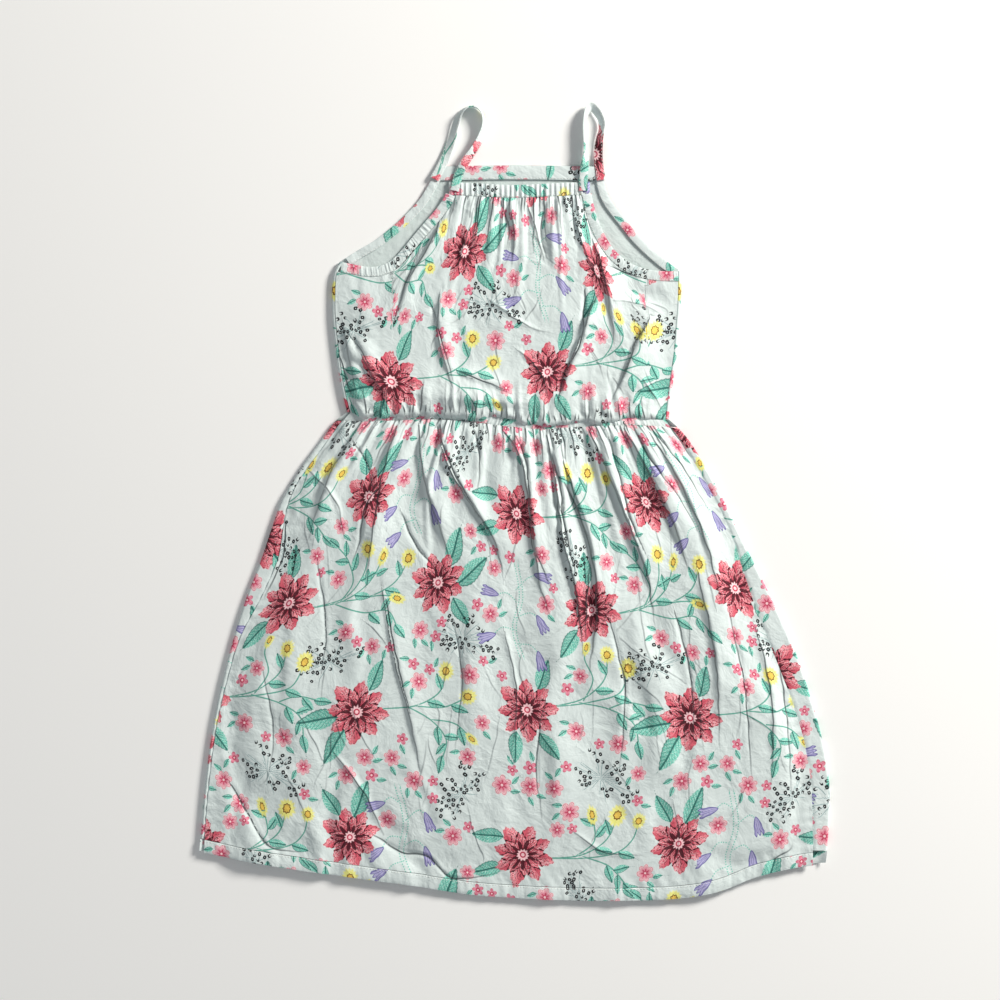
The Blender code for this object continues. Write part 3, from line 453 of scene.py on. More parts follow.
def grid_noise(x, y, seed):
    """Smooth noise from -1 to 1, the same each time, with one bump for each unit of x and y."""
    x, y = np.asarray(x, float), np.asarray(y, float)
    column, row = np.floor(x).astype(np.int64), np.floor(y).astype(np.int64)
    fx, fy = x - column, y - row

    def slope(i, j):
        mixed = ((column + i) * 374761393 + (row + j) * 668265263 + seed * 974634777) & 0xFFFFFFFF
        mixed = ((mixed ^ (mixed >> 13)) * 1274126177) & 0xFFFFFFFF
        angle = ((mixed ^ (mixed >> 16)) & 0xFFFF) / 65536 * 2 * math.pi
        return np.cos(angle) * (fx - i) + np.sin(angle) * (fy - j)

    u, v = ease(fx), ease(fy)
    return 1.5 * between(between(slope(0, 0), slope(1, 0), u), between(slope(0, 1), slope(1, 1), u), v)


def billow(x, y, seed, sharpness=0.12):
    """Rounded ridges from 0 to 1 with narrow valleys between them."""
    return np.sqrt(grid_noise(x, y, seed) ** 2 + sharpness**2) - sharpness


class Gathers:
    """Waves side by side across a seam, uneven in width and height, each with its own number."""

    def __init__(self, count, shift, unevenness):
        k = np.arange(count)
        widths = 1 + unevenness * (np.sin(2.4 * k + shift) + 0.6 * np.sin(5.1 * k + 2 * shift))
        self.marks = np.concatenate([[0.0], np.cumsum(widths / widths.sum())])
        self.sizes = 1 + 0.9 * unevenness * np.sin(3.7 * k + shift)

    def wave(self, share):
        """(height from 0 to about 1, number of the gather) at these shares of the seam."""
        k = np.clip(np.searchsorted(self.marks, share, side="right") - 1, 0, len(self.sizes) - 1)
        phase = (share - self.marks[k]) / (self.marks[k + 1] - self.marks[k])
        return self.sizes[k] * (0.5 - 0.5 * np.cos(2 * math.pi * phase)), k


waist_gathers = Gathers(24, 0.6, 0.34)
neck_gathers = Gathers(12, 1.9, 0.34)
casing_gathers = Gathers(28, 0.3, 0.12)


def fold_height(folds, x, y):
    """The sum of these folds at each point: each is full near its middle and dies away at its ends."""
    total = np.zeros(np.shape(x))
    for fold in folds:
        line = Line(fold.path)
        reach = 3.5 * fold.width
        low, high = line.points.min(axis=0) - reach, line.points.max(axis=0) + reach
        close = (x > low[0]) & (x < high[0]) & (y > low[1]) & (y < high[1])
        if not close.any():
            continue
        away, along = line.near(x[close], y[close])
        share = along / line.length
        steep = 1 - LEAN_NARROWS * fold.lean
        width = np.where(away > 0, max(fold.width * steep, LEAST_FLANK), fold.width * (2 - steep))
        width = width * (1 + 0.2 * np.sin(along / 17))
        fade = ease(0.35 + share / 0.25) * ease((1 - share) / 0.45)
        total[close] += fold.height * fade * np.exp(-((away / width) ** 2))
    return total


def waist_y(across):
    return waist.y_at(between(WAIST[0][0], WAIST[-1][0], across))


def hem_y(sides, across):
    return hem_line.y_at(sides.x(HEM_LINE[-1][1], across))


def skirt_place(sides, across, down):
    """Where points of the skirt lie in plan, at shares from side to side and from waist to hem."""
    y = between(waist_y(across) - WAIST_CASING - SEAM_GAP, hem_y(sides, across) + HEM + SEAM_GAP, down)
    return sides.x(y, across), y


def bodice_place(sides, upper_edge, across, down, drop=SEAM_GAP):
    """Where points of a bodice panel lie in plan, between its upper edge and this far above the waist."""
    top_x, top_y = upper_edge(across)
    left, right = sides.at(top_y)
    top_share = np.clip((top_x - left) / (right - left), 0, 1)
    y = between(top_y, waist_y(across) + drop, down)
    return sides.x(y, between(top_share, across, down)), y


def from_side(seams, x, y, reach):
    """0 at the side seams and 1 from this reach inwards."""
    left, right = seams.at(y)
    return ease(np.minimum(x - left, right - x) / reach)


def front_level(seams, x, y):
    return SEAM_LEVEL + from_side(seams, x, y, SIDE_RISE) * lift_at(y)


def ditch(distance):
    """A narrow valley along a stitched seam, by the distance from it."""
    return -0.8 * np.exp(-((distance / 1.8) ** 2))


def crumple(x, y, size, seed):
    """Small soft wrinkles all over, stronger in some places than in others."""
    warp = 9 * grid_noise(x / 60, y / 60, seed)
    patches = 0.45 + 0.55 * ease(0.5 + grid_noise(x / 75, y / 75, seed + 1))
    soft = 0.55 * grid_noise((x + warp) / 34, (y - warp) / 62, seed + 2)
    fine = 0.55 * billow((x - warp) / 19, (y + warp) / 33, seed + 3, 0.05)
    small = 0.2 * billow((x + 0.5 * y) / 10, (y - 0.4 * x) / 15, seed + 4, 0.05)
    return size * patches * (soft + fine + small)


def ruffles(across, away):
    """Small gathers at the waist, carried from the skirt through the casing to the bodice."""
    fine = billow(across * 88, away / 45, 7) * np.exp(-((away / 19) ** 2))
    bunched = 0.4 + 1.1 * ease(0.5 + 1.3 * grid_noise(across * 9, 0 * across, 86))
    return bunched * (2.4 * billow(across * 47, away / 80, 6) * np.exp(-((away / 42) ** 2)) + 1.7 * fine)


def skirt_front_height(x, y, across):
    run = waist_y(across) - WAIST_CASING - y
    wave, k = waist_gathers.wave(across)
    reach = 70 + 45 * np.sin(1.9 * k)
    lean = across + 0.0004 * run * grid_noise(across * 9, run / 70, 4)
    gather = 3.2 * wave**0.8 * ease((run + 3) / 16) * np.exp(-((run / reach) ** 2))
    second = ruffles(lean, run) * ease((run + 5) / 9)
    broad = 2.4 * grid_noise(lean * 13, run / 210, 8) * ease(run / 60)
    hem_run = y - (hem_y(skirt_seams, across) + HEM)
    pucker = 0.8 * grid_noise((x + 0.6 * hem_run) / 8.5, hem_run / 26, 9) * np.exp(-((hem_run / 15) ** 2))
    inside = from_side(skirt_seams, x, y, 11)
    left, right = skirt_seams.at(y)
    seam_away = np.minimum(x - left, right - x)
    side_pucker = 0.35 * np.sin(y / 2.1 + 3 * np.sin(y / 17)) * np.exp(-(seam_away / 7))
    folds = fold_height(SKIRT_FOLDS, x, y) * from_side(skirt_seams, x, y, 16)
    creases = fold_height(SKIRT_CREASES, x, y) * inside
    loose = (gather + second + broad + pucker) * inside + crumple(x, y, 1.5, 20) * ease(0.25 + inside)
    height = front_level(skirt_seams, x, y) + loose + folds + creases + side_pucker
    return np.maximum(height, 3.2)


def three_parts(share, end, first, middle, last):
    """Three runs of points as one: the first up to this share, the last from as far before 1."""
    at_first, at_last = (share < end)[..., None], (share > 1 - end)[..., None]
    return np.where(at_first, first, np.where(at_last, last, middle))


def bodice_front_edge(across):
    """The front bodice's upper edge, under its casings: an armhole, the neck and the other armhole."""
    share = np.asarray(across, float)
    left = inner_armhole_left.at(share / ARMHOLE_SHARE)
    right = inner_armhole_right.at((share - 1 + ARMHOLE_SHARE) / ARMHOLE_SHARE)
    x = between(left_corner, right_corner, (share - ARMHOLE_SHARE) / (1 - 2 * ARMHOLE_SHARE))
    neck = np.stack([x, neckline.y_at(x) - NECK_CASING - SEAM_GAP], axis=-1)
    edge = three_parts(share, ARMHOLE_SHARE, left, neck, right)
    return edge[..., 0], edge[..., 1]


class Crease(namedtuple("Crease", "path depth peak")):
    """A sharp crease down the cloth. peak is the share of its length at which it is deepest."""

    def depth_at(self, distance, along, length):
        """(depth, how much it shows at this distance)."""
        away = np.abs(along / length - self.peak) / max(self.peak, 1 - self.peak)
        depth = self.depth * np.clip(1 - away, 0, 1) ** 0.7
        return depth, depth * np.exp(-np.abs(distance) / CREASE_SPREAD)


def sharp_creases(folds, creases):
    """The sharp line on the steep side of each main fold, and the lines of the small creases."""
    out = []
    for fold in folds:
        if fold.lean >= MARKED_LEAN:
            flank = max(fold.width * (1 - LEAN_NARROWS * fold.lean), LEAST_FLANK)
            path = Line(fold.path).inset(0.7 * flank).points[::4]
            out.append(Crease(tuple(map(tuple, path)), 0.3 * fold.height, 0.35))
    return out + [Crease(crease.path, 0.75 * abs(crease.height), 0.4) for crease in creases]


def gather_creases(place, count, reach, peak, seed):
    """Short sharp creases out of a gathered seam. place(across, run) is a point this far from the seam."""
    draw = np.random.default_rng(seed)
    out = []
    for k in range(count):
        across = (k + draw.uniform(0.1, 0.9)) / count
        length = 5 + reach * draw.uniform(0.0, 1.0) ** 2
        drift = draw.uniform(-0.008, 0.008)
        path = [place(np.array(across + drift * share), share * length) for share in (0.0, 0.35, 0.7, 1.0)]
        path = [(float(x), float(y)) for x, y in path]
        out.append(Crease(path[::-1] if peak else path, draw.uniform(0.5, 1.4), peak))
    return out


def loose_creases(place, count, seed):
    """Small creases scattered over a panel, most of them down the cloth. place(across, down) is a point."""
    draw = np.random.default_rng(seed)
    out = []
    for _ in range(count):
        across, down, length = draw.uniform(0.04, 0.96), draw.uniform(0.04, 0.86), draw.uniform(0.05, 0.15)
        slant, bend = draw.normal(0, 0.035), draw.uniform(-0.012, 0.012)
        path = []
        for share in (0.0, 0.33, 0.67, 1.0):
            aside = np.clip(across + slant * share + bend * math.sin(math.pi * share), 0.02, 0.98)
            x, y = place(aside, down + length * share)
            path.append((float(x), float(y)))
        out.append(Crease(path, draw.uniform(0.2, 0.6), draw.uniform(0.3, 0.7)))
    return out


def part_of(line, first, last):
    """The stretch of a line between two shares of its length."""
    return Line(line.at(between(first, last, even(60)))[:, :2], smooth=False)


inner_armhole_left = part_of(armhole_left.inset(ARMHOLE_CASING + SEAM_GAP), 0.0, 0.9)
inner_armhole_right = part_of(armhole_right.inset(ARMHOLE_CASING + SEAM_GAP), 0.1, 1.0)
left_corner = inner_armhole_left.points[-1][0] + 1.0
right_corner = inner_armhole_right.points[0][0] - 1.0


def bodice_back_edge(across):
    """The back bodice's upper edge: an armhole, the neck and the other armhole."""
    share = np.asarray(across, float)
    arm = BACK_ARMHOLE_SHARE
    left, right = back_armhole_left.at(share / arm), back_armhole_right.at((share - 1 + arm) / arm)
    neck = back_neckline.at((share - arm) / (1 - 2 * arm))
    edge = three_parts(share, arm, left, neck, right)
    return edge[..., 0], edge[..., 1]


def overhang(across):
    """How far the bodice's front hangs over the waist seam."""
    wide, narrow = grid_noise(across * 7, 0 * across, 84), grid_noise(across * 21, 0 * across, 85)
    shown = 0.55 + 1.2 * wide + 0.6 * narrow + 0.3 * (0.45 - across)
    return 0.8 + 7.0 * ease(shown) * ease(np.minimum(across, 1 - across) / 0.05)


def bodice_front_height(x, y, across):
    edge_x, edge_y = bodice_front_edge(across)
    run = np.maximum(edge_y - y, 0)
    neck_share = (across - ARMHOLE_SHARE) / (1 - 2 * ARMHOLE_SHARE)
    wave, k = neck_gathers.wave(np.clip(neck_share, 0, 1))
    under_neck = ease(np.minimum(neck_share, 1 - neck_share) / 0.06 + 0.4)
    reach = 62 + 34 * np.sin(2.3 * k)
    lean = across + 0.0005 * run * grid_noise(across * 8, run / 60, 31)
    gather = 2.2 * wave**0.8 * ease((run + 3) / 10) * np.exp(-((run / reach) ** 2))
    gather += 1.3 * billow(lean * 52, run / 80, 32) * ease((run + 2) / 7) * np.exp(-((run / 34) ** 2))
    gather += 0.8 * billow(lean * 96, run / 50, 33) * ease((run + 2) / 4) * np.exp(-((run / 13) ** 2))
    gather *= under_neck
    arm_pucker = 0.9 * grid_noise(edge_x / 7 + edge_y / 9, run / 22, 34) * np.exp(-((run / 14) ** 2))
    arm_pucker *= 1 - under_neck
    rise = y - waist_y(across)
    wave, k = waist_gathers.wave(across)
    low = 1.8 * wave * ease((rise + 1) / 8) * np.exp(-((rise / 26) ** 2))
    low += 0.55 * ruffles(lean, rise * 1.3) * ease((rise + 4) / 8)
    low += 2.4 * billow(lean * 14, rise / 70, 38, 0.06) * np.exp(-((rise / 30) ** 2))
    hang = overhang(across)
    over = (rise + hang) / (1.2 + 0.2 * hang)
    lip = 1.8 + 1.6 * grid_noise(across * 15, 0 * across, 39)
    low += lip * (1 - np.exp(-over)) * np.exp(-(((rise + hang) / 9) ** 2))
    low += (0.9 + 0.55 * hang) * np.exp(-((rise / 30) ** 2)) - (1.4 + 0.55 * hang) * np.exp(-over)
    inside = from_side(bodice_seams, x, y, 12)
    level = between(SEAM_LEVEL, front_level(bodice_seams, x, y), ease((run + 2) / EDGE_RISE))
    folds = fold_height(BODICE_FOLDS, x, y) * from_side(bodice_seams, x, y, 14) * ease((run + 1) / 16)
    creases = fold_height(BODICE_CREASES, x, y) * inside * ease((run + 1) / 6)
    loose = (gather + arm_pucker + low) * inside + crumple(x, y, 1.5, 40) * ease(0.25 + inside)
    left_side = np.exp(-(((x + 158) / 20) ** 2)) * ease((205 - y) / 50) * inside
    crushed = left_side * (4.2 * billow((y + 0.7 * x) / 24, (x - 0.5 * y) / 30, 36, 0.04) - 1.6)
    crushed += left_side * 1.6 * billow((y - 0.4 * x) / 11, (x + y) / 20, 37, 0.04)
    return np.maximum(level + loose + 1.25 * folds + creases + crushed, 2.6)


class Field:
    """A number or colour worked out at each point of a surface, by shader nodes."""

    def __init__(self, tree, socket):
        self.tree, self.socket = tree, socket

    def node(self, kind, inputs, output=0, **settings):
        node = self.tree.nodes.new(kind)
        for name, value in settings.items():
            setattr(node, name, value)
        for key, value in inputs.items():
            if isinstance(value, Field):
                self.tree.links.new(value.socket, node.inputs[key])
            else:
                node.inputs[key].default_value = value
        return Field(self.tree, node.outputs[output])

    def maths(self, operation, *values):
        return self.node("ShaderNodeMath", dict(enumerate((self, *values))), operation=operation)

    def __add__(self, other):
        return self.maths("ADD", other)

    def __sub__(self, other):
        return self.maths("SUBTRACT", other)

    def __mul__(self, other):
        return self.maths("MULTIPLY", other)

    def __truediv__(self, other):
        return self.maths("DIVIDE", other)

    def __pow__(self, other):
        return self.maths("POWER", other)

    __radd__, __rmul__ = __add__, __mul__

    def __rsub__(self, other):
        return self.maths("MULTIPLY", -1.0).maths("ADD", other)

    def absolute(self):
        return self.maths("ABSOLUTE")

    def sine(self):
        return self.maths("SINE")

    def cosine(self):
        return self.maths("COSINE")

    def fraction(self):
        return self.maths("FRACT")

    def floor(self):
        return self.maths("FLOOR")

    def least(self, other):
        return self.maths("MINIMUM", other)

    def most(self, other):
        return self.maths("MAXIMUM", other)

    def length(self, other):
        return (self * self + other * other).maths("SQRT")

    def clamped(self):
        return self.most(0.0).least(1.0)

    def below(self, edge, soft=0.04):
        """1 where this is below edge, 0 above it, with a soft step between."""
        return ((edge - self) / soft + 0.5).clamped()

    def above(self, edge, soft=0.04):
        return ((self - edge) / soft + 0.5).clamped()

    def near(self, place, width, soft):
        """1 within this width of a place, 0 away from it, with a soft step between."""
        return (self - place).absolute().below(width, soft)

    def stripes(self, width, soft):
        """Soft lines, one for each unit of this number."""
        return self.fraction().near(0.5, width, soft)

    def equals(self, value):
        return self.maths("COMPARE", value, 0.4)


def solid(rgb):
    return (*rgb, 1.0)


def paint_over(base, colour, mask):
    """base with colour laid over it where mask is 1. Each is a field or a plain colour."""
    base, colour = (paint if isinstance(paint, Field) else solid(paint) for paint in (base, colour))
    inputs = {0: mask, 6: base, 7: colour}
    return mask.node("ShaderNodeMix", inputs, output=2, data_type="RGBA", blend_type="MIX")


def linear(red, green, blue):
    """A colour as shaders take it, from its screen values 0 to 255."""
    shares = (red / 255, green / 255, blue / 255)
    return tuple(((c + 0.055) / 1.055) ** 2.4 if c > 0.04 else c / 12.92 for c in shares)


def colour_of(name, description, *rgb):
    return FloatVectorProperty(
        name=name, description=description, default=linear(*rgb), subtype="COLOR", size=3, min=0, max=1
    )


def length_of(name, description, metres):
    return FloatProperty(name=name, description=description, default=metres, unit="LENGTH")


class DressColours(bpy.types.PropertyGroup):
    """Colours of the cloth and its print."""

    ground: colour_of("Ground", "Cloth between the printed motifs", 220, 231, 231)
    inside: colour_of("Wrong side", "Unprinted inside of the cloth", 210, 222, 221)
    coral: colour_of("Coral", "Outer edge of the large petals", 246, 128, 142)
    rose: colour_of("Rose", "Large petals", 206, 74, 96)
    maroon: colour_of("Maroon", "Line work and heart of the large flowers", 66, 4, 22)
    disc: colour_of("Disc", "Middle of the large flowers", 255, 206, 212)
    leaf: colour_of("Leaf", "Leaves", 112, 200, 182)
    leaf_light: colour_of("Light leaf", "Speckles on the leaves", 204, 242, 232)
    leaf_dark: colour_of("Dark leaf", "Ribs and edges of the leaves", 26, 98, 92)
    stem: colour_of("Stem", "Thin stems", 92, 166, 150)
    yellow: colour_of("Yellow", "Soft halo of the button flowers", 244, 240, 132)
    gold: colour_of("Gold", "Middle of the button flowers", 238, 200, 92)
    ring: colour_of("Ring", "Brown ring of the button flowers", 118, 80, 36)
    pink: colour_of("Pink", "Small flowers", 234, 146, 168)
    pale_pink: colour_of("Pale pink", "Edges of the small flowers", 250, 208, 214)
    crimson: colour_of("Crimson", "Hearts of the small flowers", 186, 28, 70)
    lilac: colour_of("Lilac", "Bell flowers", 184, 180, 220)
    violet: colour_of("Violet", "Line work of the bell flowers", 98, 92, 162)
    ink: colour_of("Ink", "Small open dots", 26, 26, 32)
    sketch: colour_of("Sketch", "Faint stems of the dot sprays", 158, 182, 184)
    # Painted shade: this colour is laid into the sharp creases to stand for the shadow in them, which their
    # bump alone doesn't cast
    shade: colour_of("Shade", "Depth of the sharp creases", 84, 92, 96)
    thread: colour_of("Thread", "Sewing thread", 244, 244, 240)
    floor: colour_of("Floor", "Surface that the dress lies on", 252, 252, 252)


class DressSizes(bpy.types.PropertyGroup):
    """Sizes of the cloth, the stitching and the stage."""

    grid: length_of("Grid", "Spacing of the cloth's fine grid", 0.0018)
    weave: length_of("Weave", "Distance between threads", 0.0007)
    stitch: length_of("Stitch", "Length of one stitch", 0.0021)
    stitch_gap: length_of("Stitch gap", "Gap between stitches", 0.0010)
    thread: length_of("Thread", "Thread thickness", 0.00042)
    seed: IntProperty(name="Seed", description="Order of the scattered small flowers", default=7)
    camera_height: length_of("Camera height", "Camera above the dress", 2.0)


@functools.cache
def chart_print(seed):
    """The motifs of one repeat, by layer: blooms, leaves, dots and stems."""
    draw = np.random.default_rng(seed)
    blooms, leaves, dots, stems = [], [], [], []
    for flower in BIG_FLOWERS:
        chart_flower(flower, blooms, leaves)
    for vine in VINES:
        chart_vine(vine, blooms, leaves, stems)
    for sprig in BELL_SPRIGS:
        chart_sprig(sprig, blooms, stems)
    for spray in DOT_SPRAYS:
        chart_spray(draw, spray, dots, stems)
    taken = [(m.x, m.y, m.radius * (0.62 if m.narrow < 1 else 1.0)) for m in (*blooms, *leaves)]
    taken += [(s.x, s.y, 0.8 * s.reach) for s in DOT_SPRAYS]
    for kind, line in stems:
        if kind != SKETCHED_STEM:
            taken += [(*point[:2], 1.5) for point in line.points[::3]]
    centres = []
    for _ in range(GROUP_TRIES):
        x, y = draw.uniform(0, TILE, 2)
        free = clear_of(taken, x, y, 10) and clear_of([*centres, FREE_SPOT], x, y, GROUP_RADIUS)
        if len(centres) < LOOSE_GROUPS and free:
            centres.append((x, y, GROUP_RADIUS))
            chart_group(draw, (x, y), blooms, leaves, taken)
    return blooms, leaves, dots, stems


def beside(x, y, reach, way):
    """The point at this reach from another, in the direction way in radians."""
    return x + reach * math.cos(way), y + reach * math.sin(way)


def chart_flower(flower, blooms, leaves):
    """A large flower with broad leaves that point out from under it."""
    blooms.append(Motif(FLOWER, flower.x, flower.y, flower.radius, flower.turn, 1.0))
    for turn in flower.leaves:
        way = math.radians(turn)
        place = beside(flower.x, flower.y, flower.radius * 0.66 + LEAF_LENGTH, way)
        bend = 18 * math.sin(3 * way)
        leaves.append(Motif(BROAD_LEAF, *place, LEAF_LENGTH + 3 * math.sin(turn), turn + bend, 0.5))


def chart_vine(vine, blooms, leaves, stems):
    """A stem with leaflets on both sides, and a button flower or a leaf at its tip."""
    line = Line(vine.path)
    stems.append((LEAF_STEM, line))
    (x, y), (bx, by) = line.points[-1], line.points[-3]
    way = math.degrees(math.atan2(y - by, x - bx))
    if vine.tip == "button":
        kind = BUTTON if len(blooms) % 3 else SIDE_BUTTON
        blooms.append(Motif(kind, x, y, BUTTON_RADIUS + 1.2 * math.sin(x), way, 1.0))
    else:
        leaves.append(Motif(LEAFLET, *beside(x, y, 8, math.radians(way)), VINE_LEAF_LENGTH, way, 0.45))
    for i in range(vine.leaflets):
        share = 0.45 + 0.42 * (i + 0.5) / vine.leaflets
        (x, y), (ax, ay) = line.at(share), line.at(share - 0.03)
        turn = math.atan2(y - ay, x - ax) + (0.8 if i % 2 else -0.8)
        size = LEAFLET_LENGTH - 0.8 * i
        leaves.append(Motif(LEAFLET, *beside(x, y, size, turn), size, math.degrees(turn), 0.5))


def chart_sprig(sprig, blooms, stems):
    """A dashed stem, with a bell flower where it has a tip."""
    line = Line(sprig.path)
    stems.append((DASHED_STEM, line))
    if sprig.tip:
        (x, y), (bx, by) = line.points[-1], line.points[-4]
        way = math.atan2(y - by, x - bx) - 0.5
        blooms.append(Motif(BELL, *beside(x, y, 8, way), BELL_RADIUS, math.degrees(way), 0.75))


def chart_spray(draw, spray, dots, stems):
    """A fan of faint stems, each with a few small open dots round its tip."""
    aim = math.radians(spray.turn)
    foot_x, foot_y = beside(spray.x, spray.y, -0.6 * spray.reach, aim)
    for i in range(DOT_STEMS):
        spread = aim + (i - DOT_STEMS // 2) * 0.16 + draw.uniform(-0.15, 0.15)
        x, y = beside(foot_x, foot_y, 1.45 * spray.reach * draw.uniform(0.2, 1.0) ** 0.7, spread)
        root = (spray.x - 0.8 * (x - spray.x), spray.y - 0.8 * (y - spray.y))
        middle = ((x + spray.x) / 2 + draw.uniform(-3, 3), (y + spray.y) / 2)
        stems.append((SKETCHED_STEM, Line((root, middle, (x, y)))))
        for j in range(int(draw.integers(2, 6))):
            way = 2.1 * j + draw.uniform(0, 1)
            place = beside(x, y, 0.0 if j == 0 else draw.uniform(4.2, 6.4), way)
            if clear_of([FREE_SPOT, *((dot.x, dot.y, 2.0) for dot in dots)], *place, 1.6):
                kind = RING_DOT if draw.random() < 0.65 else OPEN_DOT
                dots.append(Motif(kind, *place, draw.uniform(*DOT_RADII), draw.uniform(0, 360), 1.0))


def chart_group(draw, centre, blooms, leaves, taken):
    """A loose group of small flowers, each put where it is clear of what is charted."""
    for i in range(int(draw.integers(2, 6))):
        kind, size = (PINK, PINK_RADIUS) if i % 2 == 0 else (SMALL_PINK, SMALL_PINK_RADIUS)
        for _ in range(FLOWER_TRIES):
            way, reach = draw.uniform(0, 2 * math.pi), draw.uniform(0, GROUP_RADIUS)
            place = beside(*centre, reach, way)
            radius = size * draw.uniform(0.85, 1.12)
            if clear_of(taken, *place, radius + 0.8):
                blooms.append(Motif(kind, *place, radius, draw.uniform(0, 360), 1.0))
                taken.append((*place, radius))
                add_leaflets(draw, leaves, taken, place, radius, 2 if kind == PINK else 1)
                break


def add_leaflets(draw, leaves, taken, place, radius, count):
    """Small leaves that point away from a loose flower."""
    way = draw.uniform(0, 2 * math.pi)
    for i in range(count):
        turn = way + 0.8 * i
        near = beside(*place, radius + 4.5, turn)
        if clear_of(taken[:-1], *near, 4.0):
            leaves.append(Motif(LEAFLET, *near, LOOSE_LEAF_LENGTH, math.degrees(turn + 0.3), 0.42))
            taken.append((*near, 3.5))


def clear_of(taken, x, y, radius):
    """True if a circle here overlaps none of the taken ones, on the repeating cloth."""
    places = np.array(taken)
    dx = (places[:, 0] - x + TILE / 2) % TILE - TILE / 2
    dy = (places[:, 1] - y + TILE / 2) % TILE - TILE / 2
    return bool((np.hypot(dx, dy) > places[:, 2] + radius).all())


def motif_layer(motifs, corners):
    """For each corner of each face, its place in the face's nearest motif and that motif's kind, or 0."""
    middle = corners.mean(axis=1)
    best, chosen = np.full(len(corners), MOTIF_REACH), np.full(len(corners), -1)
    for k, motif in enumerate(motifs):
        dx = (middle[:, 0] - motif.x + TILE / 2) % TILE - TILE / 2
        dy = (middle[:, 1] - motif.y + TILE / 2) % TILE - TILE / 2
        turn = math.radians(motif.turn)
        along = (dx * math.cos(turn) + dy * math.sin(turn)) / motif.radius
        aside = (-dx * math.sin(turn) + dy * math.cos(turn)) / motif.radius
        gap = (np.hypot(along, aside / motif.narrow) - 1) * motif.radius * motif.narrow
        closer = gap < best
        best[closer], chosen[closer] = gap[closer], k
    out = np.zeros((*corners.shape[:2], 3))
    for k, motif in enumerate(motifs):
        mine = chosen == k
        if mine.any():
            shift = np.round((middle[mine] - (motif.x, motif.y)) / TILE) * TILE
            d = corners[mine] - (motif.x, motif.y) - shift[:, None]
            turn = math.radians(motif.turn)
            out[mine, :, 0] = (d[..., 0] * math.cos(turn) + d[..., 1] * math.sin(turn)) / motif.radius
            out[mine, :, 1] = (-d[..., 0] * math.sin(turn) + d[..., 1] * math.cos(turn)) / motif.radius
            out[mine, :, 2] = motif.kind
    return out


def stem_layer(stems, corners):
    """Each face corner's distance from the nearest stem, the length along the stem and the stem's kind."""
    middle = corners.mean(axis=1)
    best = np.full(len(corners), STEM_REACH)
    out = np.zeros((*corners.shape[:2], 3))
    for kind, line in stems:
        points = line.points
        centre = (points.min(axis=0) + points.max(axis=0)) / 2
        half = (points.max(axis=0) - points.min(axis=0)) / 2 + 5
        shift = np.round((middle - centre) / TILE) * TILE
        near = (np.abs(middle - shift - centre) < half).all(axis=1)
        if near.any():
            places = np.where(near)[0]
            own = middle[places] - shift[places]
            away = line.near(own[:, 0], own[:, 1])[0]
            closer = np.abs(away) < best[places]
            places = places[closer]
            best[places] = np.abs(away[closer])
            own = corners[places] - shift[places][:, None]
            distance, along = line.near(own[..., 0], own[..., 1])
            out[places] = np.stack([distance, along, np.full(distance.shape, float(kind))], axis=-1)
    return out


def crease_layer(creases, corners):
    """For each corner of each face, its distance from the crease that shows most there, and its depth."""
    middle = corners.mean(axis=1)
    best = np.full(len(corners), LEAST_CREASE)
    out = np.zeros((*corners.shape[:2], 3))
    for crease in creases:
        line = Line(crease.path)
        low, high = line.points.min(axis=0) - CREASE_REACH, line.points.max(axis=0) + CREASE_REACH
        places = np.where(((middle > low) & (middle < high)).all(axis=1))[0]
        if not len(places):
            continue
        shown = crease.depth_at(*line.near(*middle[places].T), line.length)[1]
        closer = shown > best[places]
        places = places[closer]
        best[places] = shown[closer]
        own = corners[places]
        distance, along = line.near(own[..., 0], own[..., 1])
        distance = distance + 1.3 * grid_noise(own[..., 0] / 15, own[..., 1] / 15, 97)
        depth = crease.depth_at(distance, along, line.length)[0]
        out[places] = np.stack([distance, depth, np.zeros(distance.shape)], axis=-1)
    return out


def petal(turn, count, tip, power):
    """(radius of the petals' edge, place across one petal from -0.5 to 0.5) round a flower."""
    across = (turn * count).fraction() - 0.5
    return 1.0 - tip * (across * 2).absolute() ** power, across


def parts_of(vector):
    """The three numbers of a vector, as fields."""
    split = vector.node("ShaderNodeSeparateXYZ", {0: vector})
    return [Field(vector.tree, split.socket.node.outputs[k]) for k in range(3)]


def read_layer(tree, name):
    """The three numbers that a cloth piece's attribute holds."""
    node = tree.nodes.new("ShaderNodeAttribute")
    node.attribute_name = name
    return parts_of(Field(tree, node.outputs["Vector"]))


def noise(cut, scale, detail):
    """Smooth noise over the flat cut, from 0 to 1."""
    return cut.node("ShaderNodeTexNoise", {"Vector": cut, "Scale": scale, "Detail": detail})


# The unevenness of the printing, and the place in a bloom: its radius from 0 to 1 and turn from 0 to 1
Grain = namedtuple("Grain", "wobble speckle pale light")
Bloom = namedtuple("Bloom", "x y kind radius turn")


def drawn_print(colours, cut, ground):
    """The print over a ground colour, from the layers that the cloth's attributes hold."""
    dust = noise(cut, 900.0, 1.0)
    wobble, light = noise(cut, 160.0, 0.0) - 0.5, noise(cut, 420.0, 1.0).above(0.52, 0.06)
    grain = Grain(wobble, dust.above(0.53, 0.05), dust.below(0.44, 0.04), light)
    colour = draw_stems(colours, grain, read_layer(cut.tree, "stems"), ground)
    colour = draw_leaves(colours, grain, read_layer(cut.tree, "leaves"), colour)
    colour = draw_dots(colours, read_layer(cut.tree, "dots"), colour)
    x, y, kind = read_layer(cut.tree, "blooms")
    turn = y.maths("ARCTAN2", x) / (2 * math.pi) + 0.5
    turn = turn + 0.012 * (turn * 4 * math.pi).sine() + 0.006 * wobble
    bloom = Bloom(x, y, kind, x.length(y), turn)
    for draw_motif in (draw_flower, draw_pink, draw_small_pink, draw_button, draw_bell):
        colour = draw_motif(colours, grain, bloom, colour)
    return colour


